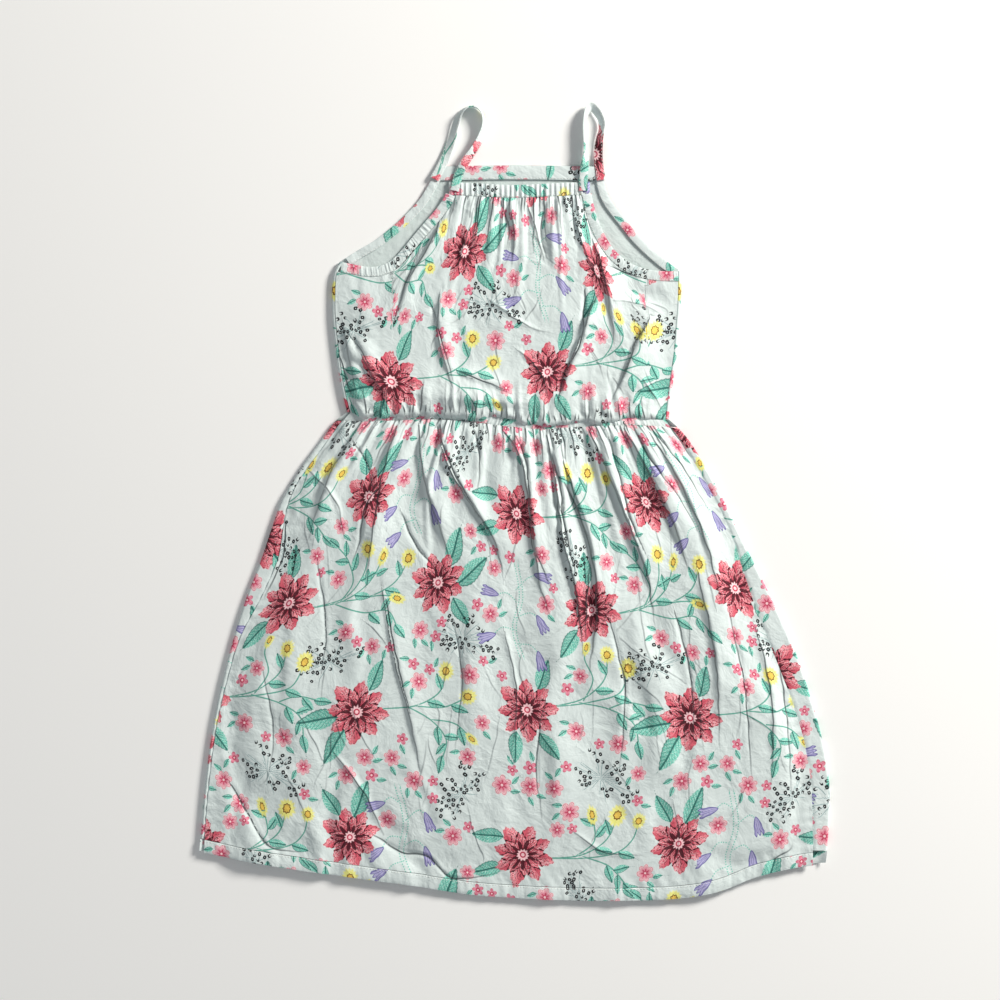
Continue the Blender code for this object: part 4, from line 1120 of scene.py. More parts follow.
def draw_stems(colours, grain, layer, colour):
    """Thin leafy stems, dashed stems and the faint stems of the dot sprays."""
    x, y, kind = layer
    line = x.absolute() + 0.3 * grain.wobble
    dash = (y / 2.6).fraction().below(0.55, 0.1)
    dashed = kind.equals(DASHED_STEM) * line.below(0.62, 0.3) * dash
    colour = paint_over(colour, colours.stem, kind.equals(LEAF_STEM) * line.below(0.70, 0.3) * 0.95)
    colour = paint_over(colour, colours.leaf, dashed * 0.85)
    return paint_over(colour, colours.sketch, kind.equals(SKETCHED_STEM) * line.below(0.42, 0.3) * 0.9)


def draw_leaves(colours, grain, layer, colour):
    """Pointed leaves, a little bent, speckled, with a middle rib and side ribs."""
    x, y, kind = layer
    bend = y - 0.10 * (x * 1.6).sine()
    half = 0.45 * (1.0 - x * x).most(0.0) ** 0.85 * (1.0 - 0.3 * x) + 0.015 * (x * 30).sine()
    side = bend.absolute()
    inside = side.below(half, 0.05) * kind.above(0.5)
    tone = paint_over(colours.leaf, colours.leaf_light, grain.speckle * 0.7)
    tone = paint_over(tone, colours.leaf_dark, bend.below(0.0, 0.05) * 0.22)
    ribs = (x * 4.5 - side * 5.0).stripes(0.09, 0.08)
    tone = paint_over(tone, colours.leaf_dark, ribs * side.above(0.02) * kind.equals(BROAD_LEAF) * 0.55)
    edge = side.above(half - 0.05, 0.04) * bend.below(0.0, 0.05)
    rib = side.below(0.028 + 0.02 * kind, 0.03)
    tone = paint_over(tone, colours.leaf_dark, (edge * 0.8).most(rib * 0.9))
    return paint_over(colour, tone, inside)


def draw_dots(colours, layer, colour):
    """Small rounded rings, some of them open at one side."""
    x, y, kind = layer
    box = (x.absolute() ** 3 + (y * 1.25).absolute() ** 3) ** 0.333
    mouth = y.absolute().below(0.45, 0.2) * x.above(0.1, 0.2) * kind.equals(OPEN_DOT)
    dot = box.below(1.0, 0.12) * box.above(0.26, 0.16) * kind.above(0.5) * (1.0 - mouth)
    return paint_over(colour, colours.ink, dot)


def draw_flower(colours, grain, bloom, colour):
    """A large flower: eight outer petals, a second ring of petals over them and a dark heart."""
    turn, radius, wobble, speckle = bloom.turn, bloom.radius, grain.wobble, grain.speckle
    size, across = petal(turn, 8, 0.36, 1.25)
    number = ((turn * 8).floor() * 2.4).sine()
    edge = 0.02 * (turn * 16 * math.pi * 5).sine() + 0.08 * wobble
    out = radius / (size * (0.95 + 0.05 * number) + edge)
    body = out.below(1.0, 0.03) * bloom.kind.equals(FLOWER)
    tone = paint_over(colours.rose, colours.coral, out.above(0.62, 0.5) * (0.75 + 0.25 * number))
    tone = paint_over(tone, colours.rose, across.above(0.05, 0.2) * out.below(0.96, 0.1) * 0.55)
    bright = (grain.pale * 0.9).most(grain.light * 0.55) * across.below(0.02, 0.3) * out.above(0.4, 0.4)
    tone = paint_over(tone, colours.disc, bright)
    strokes = (across * 6 + wobble * 2.2).stripes(0.2, 0.12)
    tone = paint_over(tone, colours.maroon, strokes * speckle.most(0.25) * out.below(0.86, 0.3))
    tone = paint_over(tone, colours.maroon, across.absolute().above(0.43, 0.06) * out.below(0.98, 0.1))
    tone = paint_over(tone, colours.maroon, out.near(0.97, 0.022, 0.02) * speckle * 0.8)
    size, across = petal(turn + 1 / 16, 8, 0.48, 1.15)
    inner = radius / (size * 0.72 + edge)
    tone = paint_over(tone, colours.rose, inner.below(1.0, 0.04))
    bright = inner.below(1.0, 0.05) * across.below(0.08, 0.3) * inner.above(0.5, 0.4)
    tone = paint_over(tone, colours.coral, bright)
    strokes = (across * 5 + wobble * 2.5).stripes(0.25, 0.12)
    bright = grain.pale * inner.below(0.96, 0.1) * inner.above(0.55, 0.3)
    tone = paint_over(tone, colours.disc, bright * 0.8)
    tone = paint_over(tone, colours.maroon, strokes * inner.below(0.85, 0.3) * speckle.most(0.6))
    tone = paint_over(tone, colours.maroon, inner.near(1.0, 0.06, 0.04))
    size, across = petal(turn, 11, 0.62, 0.9)
    tone = paint_over(tone, colours.maroon, (radius / (size * 0.5)).below(1.0 + 0.8 * wobble, 0.12) * 0.92)
    disc = radius.below(0.165 + 0.025 * (turn * 75).sine() + 0.1 * wobble, 0.03)
    tone = paint_over(tone, colours.disc, disc)
    tone = paint_over(tone, colours.crimson, radius.near(0.075, 0.02, 0.02))
    return paint_over(colour, tone, body)


def draw_pink(colours, grain, bloom, colour):
    """A small flower of seven petals with fine strokes and a dark star in its middle."""
    radius, wobble = bloom.radius, grain.wobble
    size, across = petal(bloom.turn, 7, 0.30, 2.0)
    size = size + 0.16 * wobble
    body = radius.below(size, 0.10) * bloom.kind.equals(PINK)
    tone = paint_over(colours.pink, colours.pale_pink, (radius / size).above(0.62, 0.35) * 0.9)
    strokes = (across * 4 + wobble).stripes(0.15, 0.15) * radius.below(0.85, 0.3)
    tone = paint_over(tone, colours.crimson, strokes * 0.6)
    tone = paint_over(tone, colours.crimson, (radius / size).near(0.93, 0.03, 0.05) * 0.6)
    star = radius.below(0.24 + 0.26 * across.absolute().below(0.16, 0.2), 0.1)
    tone = paint_over(tone, colours.crimson, star * 0.8)
    tone = paint_over(tone, colours.pale_pink, radius.below(0.13, 0.06))
    return paint_over(colour, tone, body)


def draw_small_pink(colours, grain, bloom, colour):
    """The smallest flower, of five petals with a dark ring in its middle."""
    radius = bloom.radius
    size, across = petal(bloom.turn, 5, 0.50, 1.9)
    body = radius.below(size, 0.12) * bloom.kind.equals(SMALL_PINK)
    tone = paint_over(colours.pink, colours.crimson, (radius / size).above(0.84, 0.12) * 0.5)
    tone = paint_over(tone, colours.crimson, across.absolute().below(0.05, 0.06) * 0.4)
    tone = paint_over(tone, colours.crimson, radius.near(0.26, 0.1, 0.08) * 0.85)
    tone = paint_over(tone, colours.pale_pink, radius.below(0.16, 0.08))
    return paint_over(colour, tone, body)


def draw_button(colours, grain, bloom, colour):
    """A button flower with a soft halo and a brown ring, from above or, with its cup, from the side."""
    x, turn = bloom.x, bloom.turn
    flat = bloom.kind.equals(SIDE_BUTTON)
    oval = x.length(bloom.y * (1.15 + 0.75 * flat))
    button = bloom.kind.equals(BUTTON).most(flat)
    halo = oval.below(1.0 + 0.1 * (turn * 88).sine() + 0.3 * grain.wobble, 0.3) * button
    colour = paint_over(colour, colours.yellow, halo * 0.92)
    colour = paint_over(colour, colours.gold, oval.below(0.44, 0.08) * button)
    uneven = 0.44 + 0.05 * (turn * 50).sine() + 0.2 * grain.wobble
    colour = paint_over(colour, colours.ring, oval.near(uneven, 0.07, 0.06) * button)
    return paint_over(colour, colours.leaf, bloom.radius.below(0.5, 0.08) * x.below(-0.42, 0.06) * flat)


def draw_bell(colours, grain, bloom, colour):
    """A bell flower seen from the side, with lines down it and a scalloped mouth."""
    x, side = bloom.x, bloom.y.absolute()
    flare = (x - 0.05).most(0.0)
    wide = 0.37 * ((x + 0.92) / 0.8).clamped() ** 0.6 + 0.42 * flare * flare
    mouth = 0.52 + 0.34 * ((side - 0.33).absolute() * 9.5).cosine().absolute()
    body = side.below(wide, 0.05) * x.below(mouth, 0.06) * x.above(-0.92, 0.05) * bloom.kind.equals(BELL)
    lines = (side / wide * 2.2 + grain.wobble).stripes(0.14, 0.13)
    rim = side.above(wide - 0.08, 0.05).most(x.above(mouth - 0.12, 0.06))
    tone = paint_over(colours.lilac, colours.violet, (lines * 0.75).most(rim))
    return paint_over(colour, tone, body)


def new_material(name, roughness):
    """Make a material of this roughness: (its tree of nodes, its shader)."""
    material = bpy.data.materials.new(name)
    material.use_nodes = True
    shader = material.node_tree.nodes["Principled BSDF"]
    shader.inputs["Roughness"].default_value = roughness
    return material.node_tree, shader


def cloth_material(name, colours, sizes, printed):
    """Light woven cotton, with the print on its right side."""
    tree, shader = new_material(name, 0.82)
    shader.inputs["Specular IOR Level"].default_value = 0.28
    shader.inputs["Sheen Weight"].default_value = 0.12
    shader.inputs["Sheen Roughness"].default_value = 0.5
    uv = tree.nodes.new("ShaderNodeUVMap")
    uv.uv_map = "cut"
    cut = Field(tree, uv.outputs["UV"])
    across, along, _ = parts_of(cut)
    pitch = 2 * math.pi / sizes.weave
    threads = (across * pitch).sine() * (along * pitch).sine()
    slubs, cloud = noise(cut, 240.0, 3.0), noise(cut, 14.0, 2.0)
    base = colours.ground if printed else colours.inside
    shade = tuple(0.93 * c for c in base)
    tint = paint_over(base, shade, (cloud - 0.35).most(0.0) * 1.2)
    tint = paint_over(tint, shade, (threads * 0.5 + 0.5) * 0.35)
    if printed:
        tint = drawn_print(colours, cut, tint)
    left, depth, _ = read_layer(tree, "creases")
    # Painted shade: along each sharp crease the colour is darkened towards the shade colour, most where the
    # crease is deepest, for the shadow that its bump doesn't cast
    painted_crease_shade = (1.0 - left.absolute() / 1.3).most(0.0) * depth.least(1.0)
    tint = paint_over(tint, colours.shade, painted_crease_shade * 0.75)
    tree.links.new(tint.socket, shader.inputs["Base Color"])
    height = threads * 0.35 + slubs
    bump = height.node("ShaderNodeBump", {"Height": height, "Strength": 0.16, "Distance": 0.0003})
    for scale, distance in ((48.0, 0.0003), (21.0, 0.0008)):
        warped = {"Vector": cut, "Scale": scale, "Detail": 4.0, "Roughness": 0.55, "Distortion": 0.7}
        ridges = 1.0 - (cut.node("ShaderNodeTexNoise", warped) - 0.5).absolute() * 4.0
        bump = ridges.node("ShaderNodeBump", {"Height": ridges, "Distance": distance, "Normal": bump})
    lip = (0.5 - left / 1.5).clamped() * (1.0 + left / 6.5).clamped() ** 1.5 * depth
    bump = lip.node("ShaderNodeBump", {"Height": lip, "Distance": 0.001, "Normal": bump})
    tree.links.new(bump.socket, shader.inputs["Normal"])


def thread_material(colours):
    """Matt sewing thread, twisted."""
    tree, shader = new_material("sewing thread", 0.6)
    texture = tree.nodes.new("ShaderNodeTexCoord")
    place = Field(tree, texture.outputs["Object"])
    twist = place.node("ShaderNodeTexWave", {"Vector": place, "Scale": 900.0, "Distortion": 1.0}, output=1)
    darker = tuple(0.8 * c for c in colours.thread)
    tint = paint_over(colours.thread, darker, twist)
    tree.links.new(tint.socket, shader.inputs["Base Color"])


def add_object(name, data):
    """A new object in the scene, at the origin."""
    obj = bpy.data.objects.new(name, data)
    bpy.context.scene.collection.objects.link(obj)
    return obj


def add_piece(name, vertices, blocks, cut, shades, slot, nodes, creases=()):
    """A cloth piece from its points in millimetres, its faces and each point's place in the flat cut."""
    mesh = bpy.data.meshes.new(name)
    mesh.from_pydata((vertices * MM).tolist(), [], [face for block in blocks for face in block.tolist()])
    uv = mesh.uv_layers.new(name="cut")
    uv.data.foreach_set("uv", np.concatenate([(cut[block] * MM).reshape(-1) for block in blocks]))
    layers = [print_layers(cut[block]) for block in blocks]
    if creases:
        for found, block in zip(layers, blocks):
            found["creases"] = crease_layer(creases, vertices[block][..., :2])
    for layer in layers[0]:
        attribute = mesh.attributes.new(layer, "FLOAT_VECTOR", "CORNER")
        attribute.data.foreach_set("vector", np.concatenate([found[layer].reshape(-1) for found in layers]))
    mesh.polygons.foreach_set("material_index", shades.astype(np.int32))
    mesh.polygons.foreach_set("use_smooth", np.ones(len(shades), bool))
    mesh.set_sharp_from_angle(angle=math.radians(60))
    mesh.update()
    piece = add_object(name, mesh)
    for title in CLOTH_SIDES:
        mesh.materials.append(bpy.data.materials[title])
    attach(piece, "root")
    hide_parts(*nodes)
    return piece


def print_layers(corners):
    """The print's layers at these places in the flat cut."""
    blooms, leaves, dots, stems = chart_print(bpy.context.scene.dress_sizes.seed)
    return {
        "blooms": motif_layer(blooms, corners),
        "leaves": motif_layer(leaves, corners),
        "dots": motif_layer(dots, corners),
        "stems": stem_layer(stems, corners),
    }


def shell(rows, cut, upper, lower):
    """A closed thin wall round a grid of points: (vertices, blocks of faces, cut, shades) for add_piece.

    upper and lower are the material numbers of its two sides. The lower has every second row and column.
    """
    down, across = np.gradient(rows, axis=0), np.gradient(rows, axis=1)
    normal = np.cross(across, -down)
    normal /= np.maximum(np.linalg.norm(normal, axis=2), 1e-9)[..., None]
    top = rows + normal * CLOTH / 2
    bottom = (rows - normal * CLOTH / 2)[::2, ::2]
    bottom[..., 2] -= HIDDEN_GAP
    fine = np.arange(top.shape[0] * top.shape[1]).reshape(top.shape[:2])
    coarse = fine.size + np.arange(bottom.shape[0] * bottom.shape[1]).reshape(bottom.shape[:2])
    over, under = grid_faces(fine), grid_faces(coarse)[:, ::-1]
    ring, inner = border(fine), border(coarse)
    middle, end, inner_end = ring[1::2], np.roll(ring[::2], -1), np.roll(inner, -1)
    quads = np.stack([middle, inner, inner_end, end], axis=-1)
    triangles = np.stack([ring[::2], inner, middle], axis=-1)
    rim = np.full(len(quads) + len(triangles), RIGHT_SIDE)
    shades = [np.full(len(over), upper), np.full(len(under), lower), rim]
    vertices = np.concatenate([top.reshape(-1, 3), bottom.reshape(-1, 3)])
    places = np.concatenate([cut.reshape(-1, 2), cut[::2, ::2].reshape(-1, 2)])
    return vertices, [np.concatenate([over, under, quads]), triangles], places, np.concatenate(shades)


def grid_faces(index):
    corners = (index[:-1, :-1], index[1:, :-1], index[1:, 1:], index[:-1, 1:])
    return np.stack(corners, axis=-1).reshape(-1, 4)


def border(index):
    """The points round a grid, down its first column first."""
    return np.concatenate([index[:, 0], index[-1, 1:], index[-2::-1, -1], index[0, -2:0:-1]])


def tube(rows, cut):
    """A closed tube through rings of points, with flat ends: rows is (ring, point, xyz)."""
    count, around = rows.shape[:2]
    index = np.arange(count * around).reshape(count, around)
    after = np.roll(index, -1, axis=1)
    quads = np.stack([index[:-1], after[:-1], after[1:], index[1:]], axis=-1).reshape(-1, 4)
    vertices, places = rows.reshape(-1, 3), cut.reshape(-1, 2)
    half = around // 2
    ends = []
    for ring, flip in ((index[0], True), (index[-1], False)):
        for k in range(half - 1):
            face = [ring[k], ring[k + 1], ring[around - 2 - k], ring[around - 1 - k]]
            ends.append(face[::-1] if flip else face)
    faces = np.concatenate([quads, np.array(ends)])
    return vertices, [faces], places, np.full(len(faces), RIGHT_SIDE)


def ring_angles():
    return (np.arange(BAND_POINTS) + 0.5) / BAND_POINTS * 2 * math.pi


def band_rings(upper, lower, upper_z, lower_z, thickness, bulge):
    """Rings of a flat tube between two lines of points. bulge is how far each ring's upper face swells."""
    angle = ring_angles()
    across = 0.5 - 0.5 * np.cos(angle)
    lift = np.sign(np.sin(angle)) * np.abs(np.sin(angle)) ** 0.6
    plan = between(upper[:, None, :2], lower[:, None, :2], across[None, :, None])
    level = between(upper_z[:, None], lower_z[:, None], across[None, :])
    swell = np.maximum(lift, 0)[None, :] * bulge[:, None]
    return np.concatenate([plan, (level + lift[None, :] * thickness / 2 + swell)[..., None]], axis=2)


def band_cut(lengths, width, offset):
    """Where points of a band were in its flat cut."""
    across = (0.5 - 0.5 * np.cos(ring_angles())) * width
    u = np.repeat(lengths[:, None], BAND_POINTS, axis=1)
    return np.stack([u + offset[0], np.repeat(-across[None, :], len(lengths), axis=0) + offset[1]], axis=2)


def skirt_cut(across, run, down):
    """Where points of the skirt were in its flat cut."""
    width = between(SKIRT_CUT_TOP, SKIRT_CUT_BOTTOM, down)
    return np.stack([(across - 0.5) * width + SKIRT_SHIFT[0], -run + SKIRT_SHIFT[1]], axis=-1)


def even_columns(width, grid):
    """Shares across a panel, an even number of steps of about this size."""
    return even(2 * round(width / grid / 2))[None, :]


def rows_of(spacing_points, total):
    """Row places from 0 to 1, an odd number of them, with this spacing at these shares of the way down."""
    places, spacing = zip(*spacing_points)
    out, here = [0.0], 0.0
    while here < 1 or len(out) % 2 == 0:
        here += np.interp(here, places, spacing) / total
        out.append(here)
    return np.array(out) / out[-1]


def build_skirt_front(sizes):
    grid = sizes.grid / MM
    across = even_columns(SKIRT_WIDTH, grid)
    down = rows_of(((0, 0.8), (0.12, 1.0), (0.9, 1.15), (1, 0.9)), SKIRT_LENGTH / grid)[:, None]
    x, y = skirt_place(skirt_seams, across, down)
    z = skirt_front_height(x, y, np.broadcast_to(across, x.shape))
    cut = skirt_cut(np.broadcast_to(across, x.shape), y[0] - y, np.broadcast_to(down, x.shape))

    def below_waist(across, run):
        return skirt_place(skirt_seams, across, run / SKIRT_LENGTH)

    def anywhere(across, down):
        return skirt_place(skirt_seams, across, down)

    creases = sharp_creases(SKIRT_FOLDS, SKIRT_CREASES)
    creases += gather_creases(below_waist, 74, 52, 0.0, 11) + loose_creases(anywhere, 85, 14)
    wall = shell(np.stack([x, y, z], axis=-1), cut, RIGHT_SIDE, WRONG_SIDE)
    piece = add_piece("skirt_front_cloth", *wall, "printed_cotton", ["skirt_front"], creases)


def build_bodice_front(sizes):
    grid = sizes.grid / MM
    across = even_columns(BODICE_WIDTH, grid)
    down = rows_of(((0, 0.7), (0.15, 0.95), (0.85, 0.95), (1, 0.7)), BODICE_LENGTH / grid)[:, None]
    x, y = bodice_place(bodice_seams, bodice_front_edge, across, down, -overhang(across))
    z = bodice_front_height(x, y, np.broadcast_to(across, x.shape))
    neck_width = right_corner - left_corner
    share = (x - x[:, :1]) / (x[:, -1:] - x[:, :1]) - 0.5
    width = between(BODICE_CUT_CHEST, BODICE_CUT_WAIST, ease((down - 0.6) / 0.4))
    gathered = 1 + (NECK_FULLNESS - 1) * np.exp(-((down / 0.35) ** 2)) * (np.abs(x - 5) < neck_width)
    cut = np.stack([share * width * gathered + BODICE_SHIFT[0], y + BODICE_SHIFT[1]], axis=-1)

    def below_neck(across, run):
        across = ARMHOLE_SHARE + across * (1 - 2 * ARMHOLE_SHARE)
        return bodice_place(bodice_seams, bodice_front_edge, across, run / BODICE_LENGTH)

    def above_waist(across, run):
        return bodice_place(bodice_seams, bodice_front_edge, across, 1 - run / BODICE_LENGTH)

    def anywhere(across, down):
        return bodice_place(bodice_seams, bodice_front_edge, across, down)

    creases = sharp_creases(BODICE_FOLDS, BODICE_CREASES)
    creases += gather_creases(below_neck, 30, 58, 0.0, 12) + gather_creases(above_waist, 56, 34, 1.0, 13)
    creases += loose_creases(anywhere, 48, 15)
    wall = shell(np.stack([x, y, z], axis=-1), cut, RIGHT_SIDE, WRONG_SIDE)
    piece = add_piece("bodice_front_cloth", *wall, "printed_cotton", ["bodice_front"], creases)


def back_rows(place, outline, seams, down, columns, ripple):
    """Rows across the back: in from the left seam, round the curl, over the floor and up the other side."""
    share = even(columns)
    centre_z = (SEAM_LEVEL + CLOTH / 2) / 2
    radius = centre_z - CLOTH / 2
    rows = []
    for row in down:
        sides = []
        for end, way in ((0.0, 1), (1.0, -1)):
            x, y = place(np.array([end]), row)
            x, y = float(outline.x(y, end)[0]), float(y[0])
            seam = float(seams.x(y, end))
            centre = x + way * (CLOTH / 2 + radius)
            wrap = between(seam - way * 0.15, centre, even(24)[:-1])
            inner = np.abs(wrap - seam)
            lift = 0.5 * billow(y / 14, wrap / 9, 51) * np.exp(-(inner / 12)) + ditch(inner)
            strip = [(w, y, SEAM_LEVEL + h) for w, h in zip(wrap, lift)]
            for turn in np.radians(np.linspace(90, 270, 21)):
                curl_x = centre + way * radius * math.cos(turn)
                strip.append((curl_x, y, centre_z + radius * math.sin(turn)))
            sides.append(strip)
        x, y = place(share[1:-1], row)
        z = CLOTH / 2 + ripple(x, y, row)
        first, last = sides[0][-1][0] + 0.5, sides[1][-1][0] - 0.5
        flat = zip(np.clip(x, first, last), y, z)
        rows.append([*sides[0], *flat, *sides[1][::-1]])
    return np.array(rows, float)


def build_back():
    def bodice_at(share, row):
        return bodice_place(bodice_outline, bodice_back_edge, share, row)

    def skirt_at(share, row):
        return skirt_place(skirt_outline, share, row)

    def bodice_ripple(x, y, row):
        near_waist = np.exp(-(((y - 88) / 20) ** 2)) * billow(x / 12, y / 60, 52)
        return np.maximum(0.5 * crumple(x, y, 1.0, 53) + near_waist, 0) * ease((1 - row) / 0.02 + 0.2)

    def flat(x, y, row):
        return np.zeros(np.shape(x))

    down = rows_of(((0, 2.6), (1, 3.2)), BACK_BODICE_LENGTH)
    rows = back_rows(bodice_at, bodice_outline, bodice_seams, down, BACK_BODICE_COLUMNS, bodice_ripple)
    wall = shell(rows, rows[..., :2] * (-1, 1) + BACK_SHIFT, WRONG_SIDE, RIGHT_SIDE)
    piece = add_piece("bodice_back_cloth", *wall, "inner_cotton", ["bodice_back"])

    down = rows_of(((0, 2.6), (1, 3.4)), SKIRT_LENGTH)
    rows = back_rows(skirt_at, skirt_outline, skirt_seams, down, BACK_SKIRT_COLUMNS, flat)
    wall = shell(rows, rows[..., :2] * (-1, 1) + BACK_SHIFT, WRONG_SIDE, RIGHT_SIDE)
    piece = add_piece("skirt_back_cloth", *wall, "printed_cotton", ["skirt_back"])


def make_band(
    name, upper, lower, upper_z, lower_z, thickness, bulge, nodes, gather, offset, slot="printed_cotton"
):
    """A band of doubled cloth between two lines, as a flat closed tube. gather is how full its cut was."""
    rings = band_rings(upper, lower, upper_z, lower_z, thickness, bulge)
    middle = (upper[:, :2] + lower[:, :2]) / 2
    lengths = np.concatenate([[0.0], np.cumsum(np.linalg.norm(np.diff(middle, axis=0), axis=1))]) * gather
    width = float(np.linalg.norm(upper[:, :2] - lower[:, :2], axis=1).mean())
    cut = band_cut(lengths, width, offset)
    piece = add_piece(name, *tube(rings, cut), slot, nodes)
    return rings


def build_neck(sizes):
    share = even(420)
    upper = neckline.at(share)
    lower = np.stack([upper[:, 0], upper[:, 1] - NECK_CASING], axis=1)
    wave = casing_gathers.wave(share)[0]
    fine = billow(share * 62, share * 9, 61)
    level = 3.8 + 0.0 * share
    casing = make_band(
        "neck_casing", upper, lower, level + 0.3 * wave, level + 0.4 * wave, 1.2, 0.5 * wave + 0.5 * fine,
        ["neck_casing_front"], 1.25, (60.0, 262.0), "gathered_casing",
    )
    share = even(120)
    upper = Line(BAND_TOP).at(share)
    lower = np.stack([upper[:, 0], upper[:, 1] - 14.0], axis=1)
    level = 2.1 + 0.15 * grid_noise(share * 14, share * 0, 62)
    band = make_band(
        "back_neck_band", upper, lower, level, level, 1.0, 0.2 + 0 * share,
        ["neck_band_back"], 1.0, (190.0, 40.0),
    )
    add_stitches("neck_stitches", [edge_run(casing, SECOND_EDGE), edge_run(band, SECOND_EDGE)], sizes)


def build_armholes(sizes):
    casings = (
        ("left", part_of(armhole_left, 0.02, 0.93), 0.0),
        ("right", part_of(armhole_right, 0.075, 0.98), 150.0),
    )
    runs = []
    for side, outer, shift in casings:
        share = even(300)
        upper = outer.at(share)
        lower = outer.inset(ARMHOLE_CASING).at(share)
        wave = billow(share * 26, share * 3, 71) + 0.7 * billow(share * 54, share * 5, 72)
        level = 3.8 + 0.3 * np.sin(share * 9)
        rise = level + 0.9 * ease(1 - 6 * np.minimum(share, 1 - share))
        casing = make_band(
            f"armhole_casing_{side}_cloth", upper, lower, level, rise, 1.1, 0.9 * wave,
            [f"armhole_casing_{side}"], 1.2, (60.0 + shift, 20.0), "gathered_casing",
        )
        runs.append(edge_run(casing, SECOND_EDGE))
    bindings = (
        ("left", part_of(back_armhole_left.inset(0.2), 0.05, 0.985), 30.0),
        ("right", part_of(back_armhole_right.inset(0.2), 0.015, 0.95), 110.0),
    )
    for side, outer, shift in bindings:
        share = even(200)
        upper = outer.at(share)
        lower = outer.inset(ARMHOLE_BINDING).at(share)
        level = 1.95 + 0.2 * grid_noise(share * 16, share * 0, 73)
        binding = make_band(
            f"armhole_binding_{side}_cloth", upper, lower, level, level, 1.0, 0.25 + 0 * share,
            [f"armhole_binding_{side}"], 1.0, (20.0 + shift, 170.0),
        )
        runs.append(edge_run(binding, SECOND_EDGE))
    add_stitches("armhole_stitches", runs, sizes)


def build_waist(sizes):
    share = even(560)
    edges = []
    for seams, drop in ((bodice_seams, 0.0), (skirt_seams, WAIST_CASING)):
        y = waist_y(share) - drop
        edges.append(np.stack([seams.x(y, share), y], axis=1))
    upper, lower = edges
    upper[:, 1] += 0.9 * grid_noise(share * 60, share * 8, 82)
    lower[:, 1] += 1.1 * grid_noise(share * 52, share * 8, 83) - 0.9
    level = [front_level(s, e[:, 0], e[:, 1]) for s, e in zip((bodice_seams, skirt_seams), edges)]
    fade = ease(np.minimum(share, 1 - share) / 0.03)
    wave = ruffles(share, 0 * share) * fade
    casing = make_band(
        "waist_casing_cloth", upper, lower, level[0] + 0.3 * wave - 0.4, level[1] + 0.5 * wave - 0.5, 1.2,
        0.5 * wave + 0.3, ["waist_casing_front"], 1.15, (0.0, 44.0), "gathered_casing",
    )
    add_stitches("waist_stitches", [edge_run(casing, SECOND_EDGE)], sizes)
    share = even(160)
    edges = []
    for outline, drop in ((bodice_outline, 0.0), (skirt_outline, WAIST_CASING)):
        y = waist_y(share) - drop
        edges.append(np.stack([outline.x(y, share), y], axis=1))
    ends = SEAM_LEVEL - 1.2
    level = 0.6 + ends * (1 - ease(np.minimum(share, 1 - share) / 0.012))
    make_band(
        "waist_casing_back_cloth", edges[0], edges[1], level, level, 1.1, 0.3 + 0.3 * np.sin(share * 260),
        ["waist_casing_back"], 1.1, (80.0, 60.0), "gathered_casing",
    )


def build_hem(sizes):
    share = even(420)
    y = hem_y(skirt_seams, share)
    lower = np.stack([skirt_seams.x(y, share), y], axis=1)
    upper = np.stack([skirt_seams.x(y + HEM, share), y + HEM], axis=1)
    upper_z = skirt_front_height(upper[:, 0], upper[:, 1], share)
    lower_z = skirt_front_height(lower[:, 0], lower[:, 1], share)
    pucker = 0.8 * billow(share * 56, share * 6, 91) + 0.9 * billow(share * 120, share * 8, 92)
    rings = band_rings(upper, lower, upper_z - 0.1, between(lower_z, upper_z, 0.35), 1.2, 0.9 * pucker)
    cut = band_cut((share - 0.5) * SKIRT_CUT_BOTTOM, HEM, (SKIRT_SHIFT[0], SKIRT_SHIFT[1] - SKIRT_LENGTH))
    piece = add_piece("hem_front_cloth", *tube(rings, cut), "printed_cotton", ["hem_front"])
    add_stitches("hem_stitches", [edge_run(rings, FIRST_EDGE)], sizes)

    share = even(200)
    y = hem_y(skirt_outline, share)
    lower = np.stack([skirt_outline.x(y, share), y + 1.0], axis=1)
    upper = np.stack([skirt_outline.x(y + HEM, share), y + HEM], axis=1)
    level = 0.6 + 3.4 * (1 - ease(np.minimum(share, 1 - share) / 0.012))
    make_band(
        "hem_back_cloth", upper, lower, level, level, 1.1, 0.0 * share, ["hem_back"], 1.0, (-100.0, 40.0)
    )


def build_strap(name, points, node, offset):
    """A flat strap of doubled cloth that turns on its edge as it goes round its loop."""
    line = Line(points)
    share = even(260)
    places = line.at(share)
    along = np.gradient(places[:, :2], axis=0)
    along /= np.linalg.norm(along, axis=1)[:, None]
    turn = np.radians(places[:, 3])
    half = STRAP_WIDTH / 2
    wobble = 0.35 * grid_noise(share * 22, share * 0, 95)
    lie = places[:, 2] + 0.15 + STRAP_THICKNESS / 2 * np.cos(turn) + half * np.sin(turn)
    sideways = np.stack([along[:, 1] * np.cos(turn), -along[:, 0] * np.cos(turn), np.sin(turn)], axis=1)
    outwards = np.stack([-along[:, 1] * np.sin(turn), along[:, 0] * np.sin(turn), np.cos(turn)], axis=1)
    middle = np.stack([places[:, 0], places[:, 1], lie], axis=1)
    angle = ring_angles()
    aside = -np.cos(angle) * (half + wobble[:, None])
    lift = np.sign(np.sin(angle)) * np.abs(np.sin(angle)) ** 0.7 * STRAP_THICKNESS / 2
    rings = middle[:, None] + aside[..., None] * sideways[:, None] + lift[None, :, None] * outwards[:, None]
    rings[..., 2] = np.maximum(rings[..., 2], 0.05)
    cut = band_cut(share * line.length, STRAP_WIDTH, offset)
    piece = add_piece(name, *tube(rings, cut), "printed_cotton", [node])
    return [rings[:, edge] + 0.1 * outwards for edge in (FIRST_EDGE, SECOND_EDGE)]


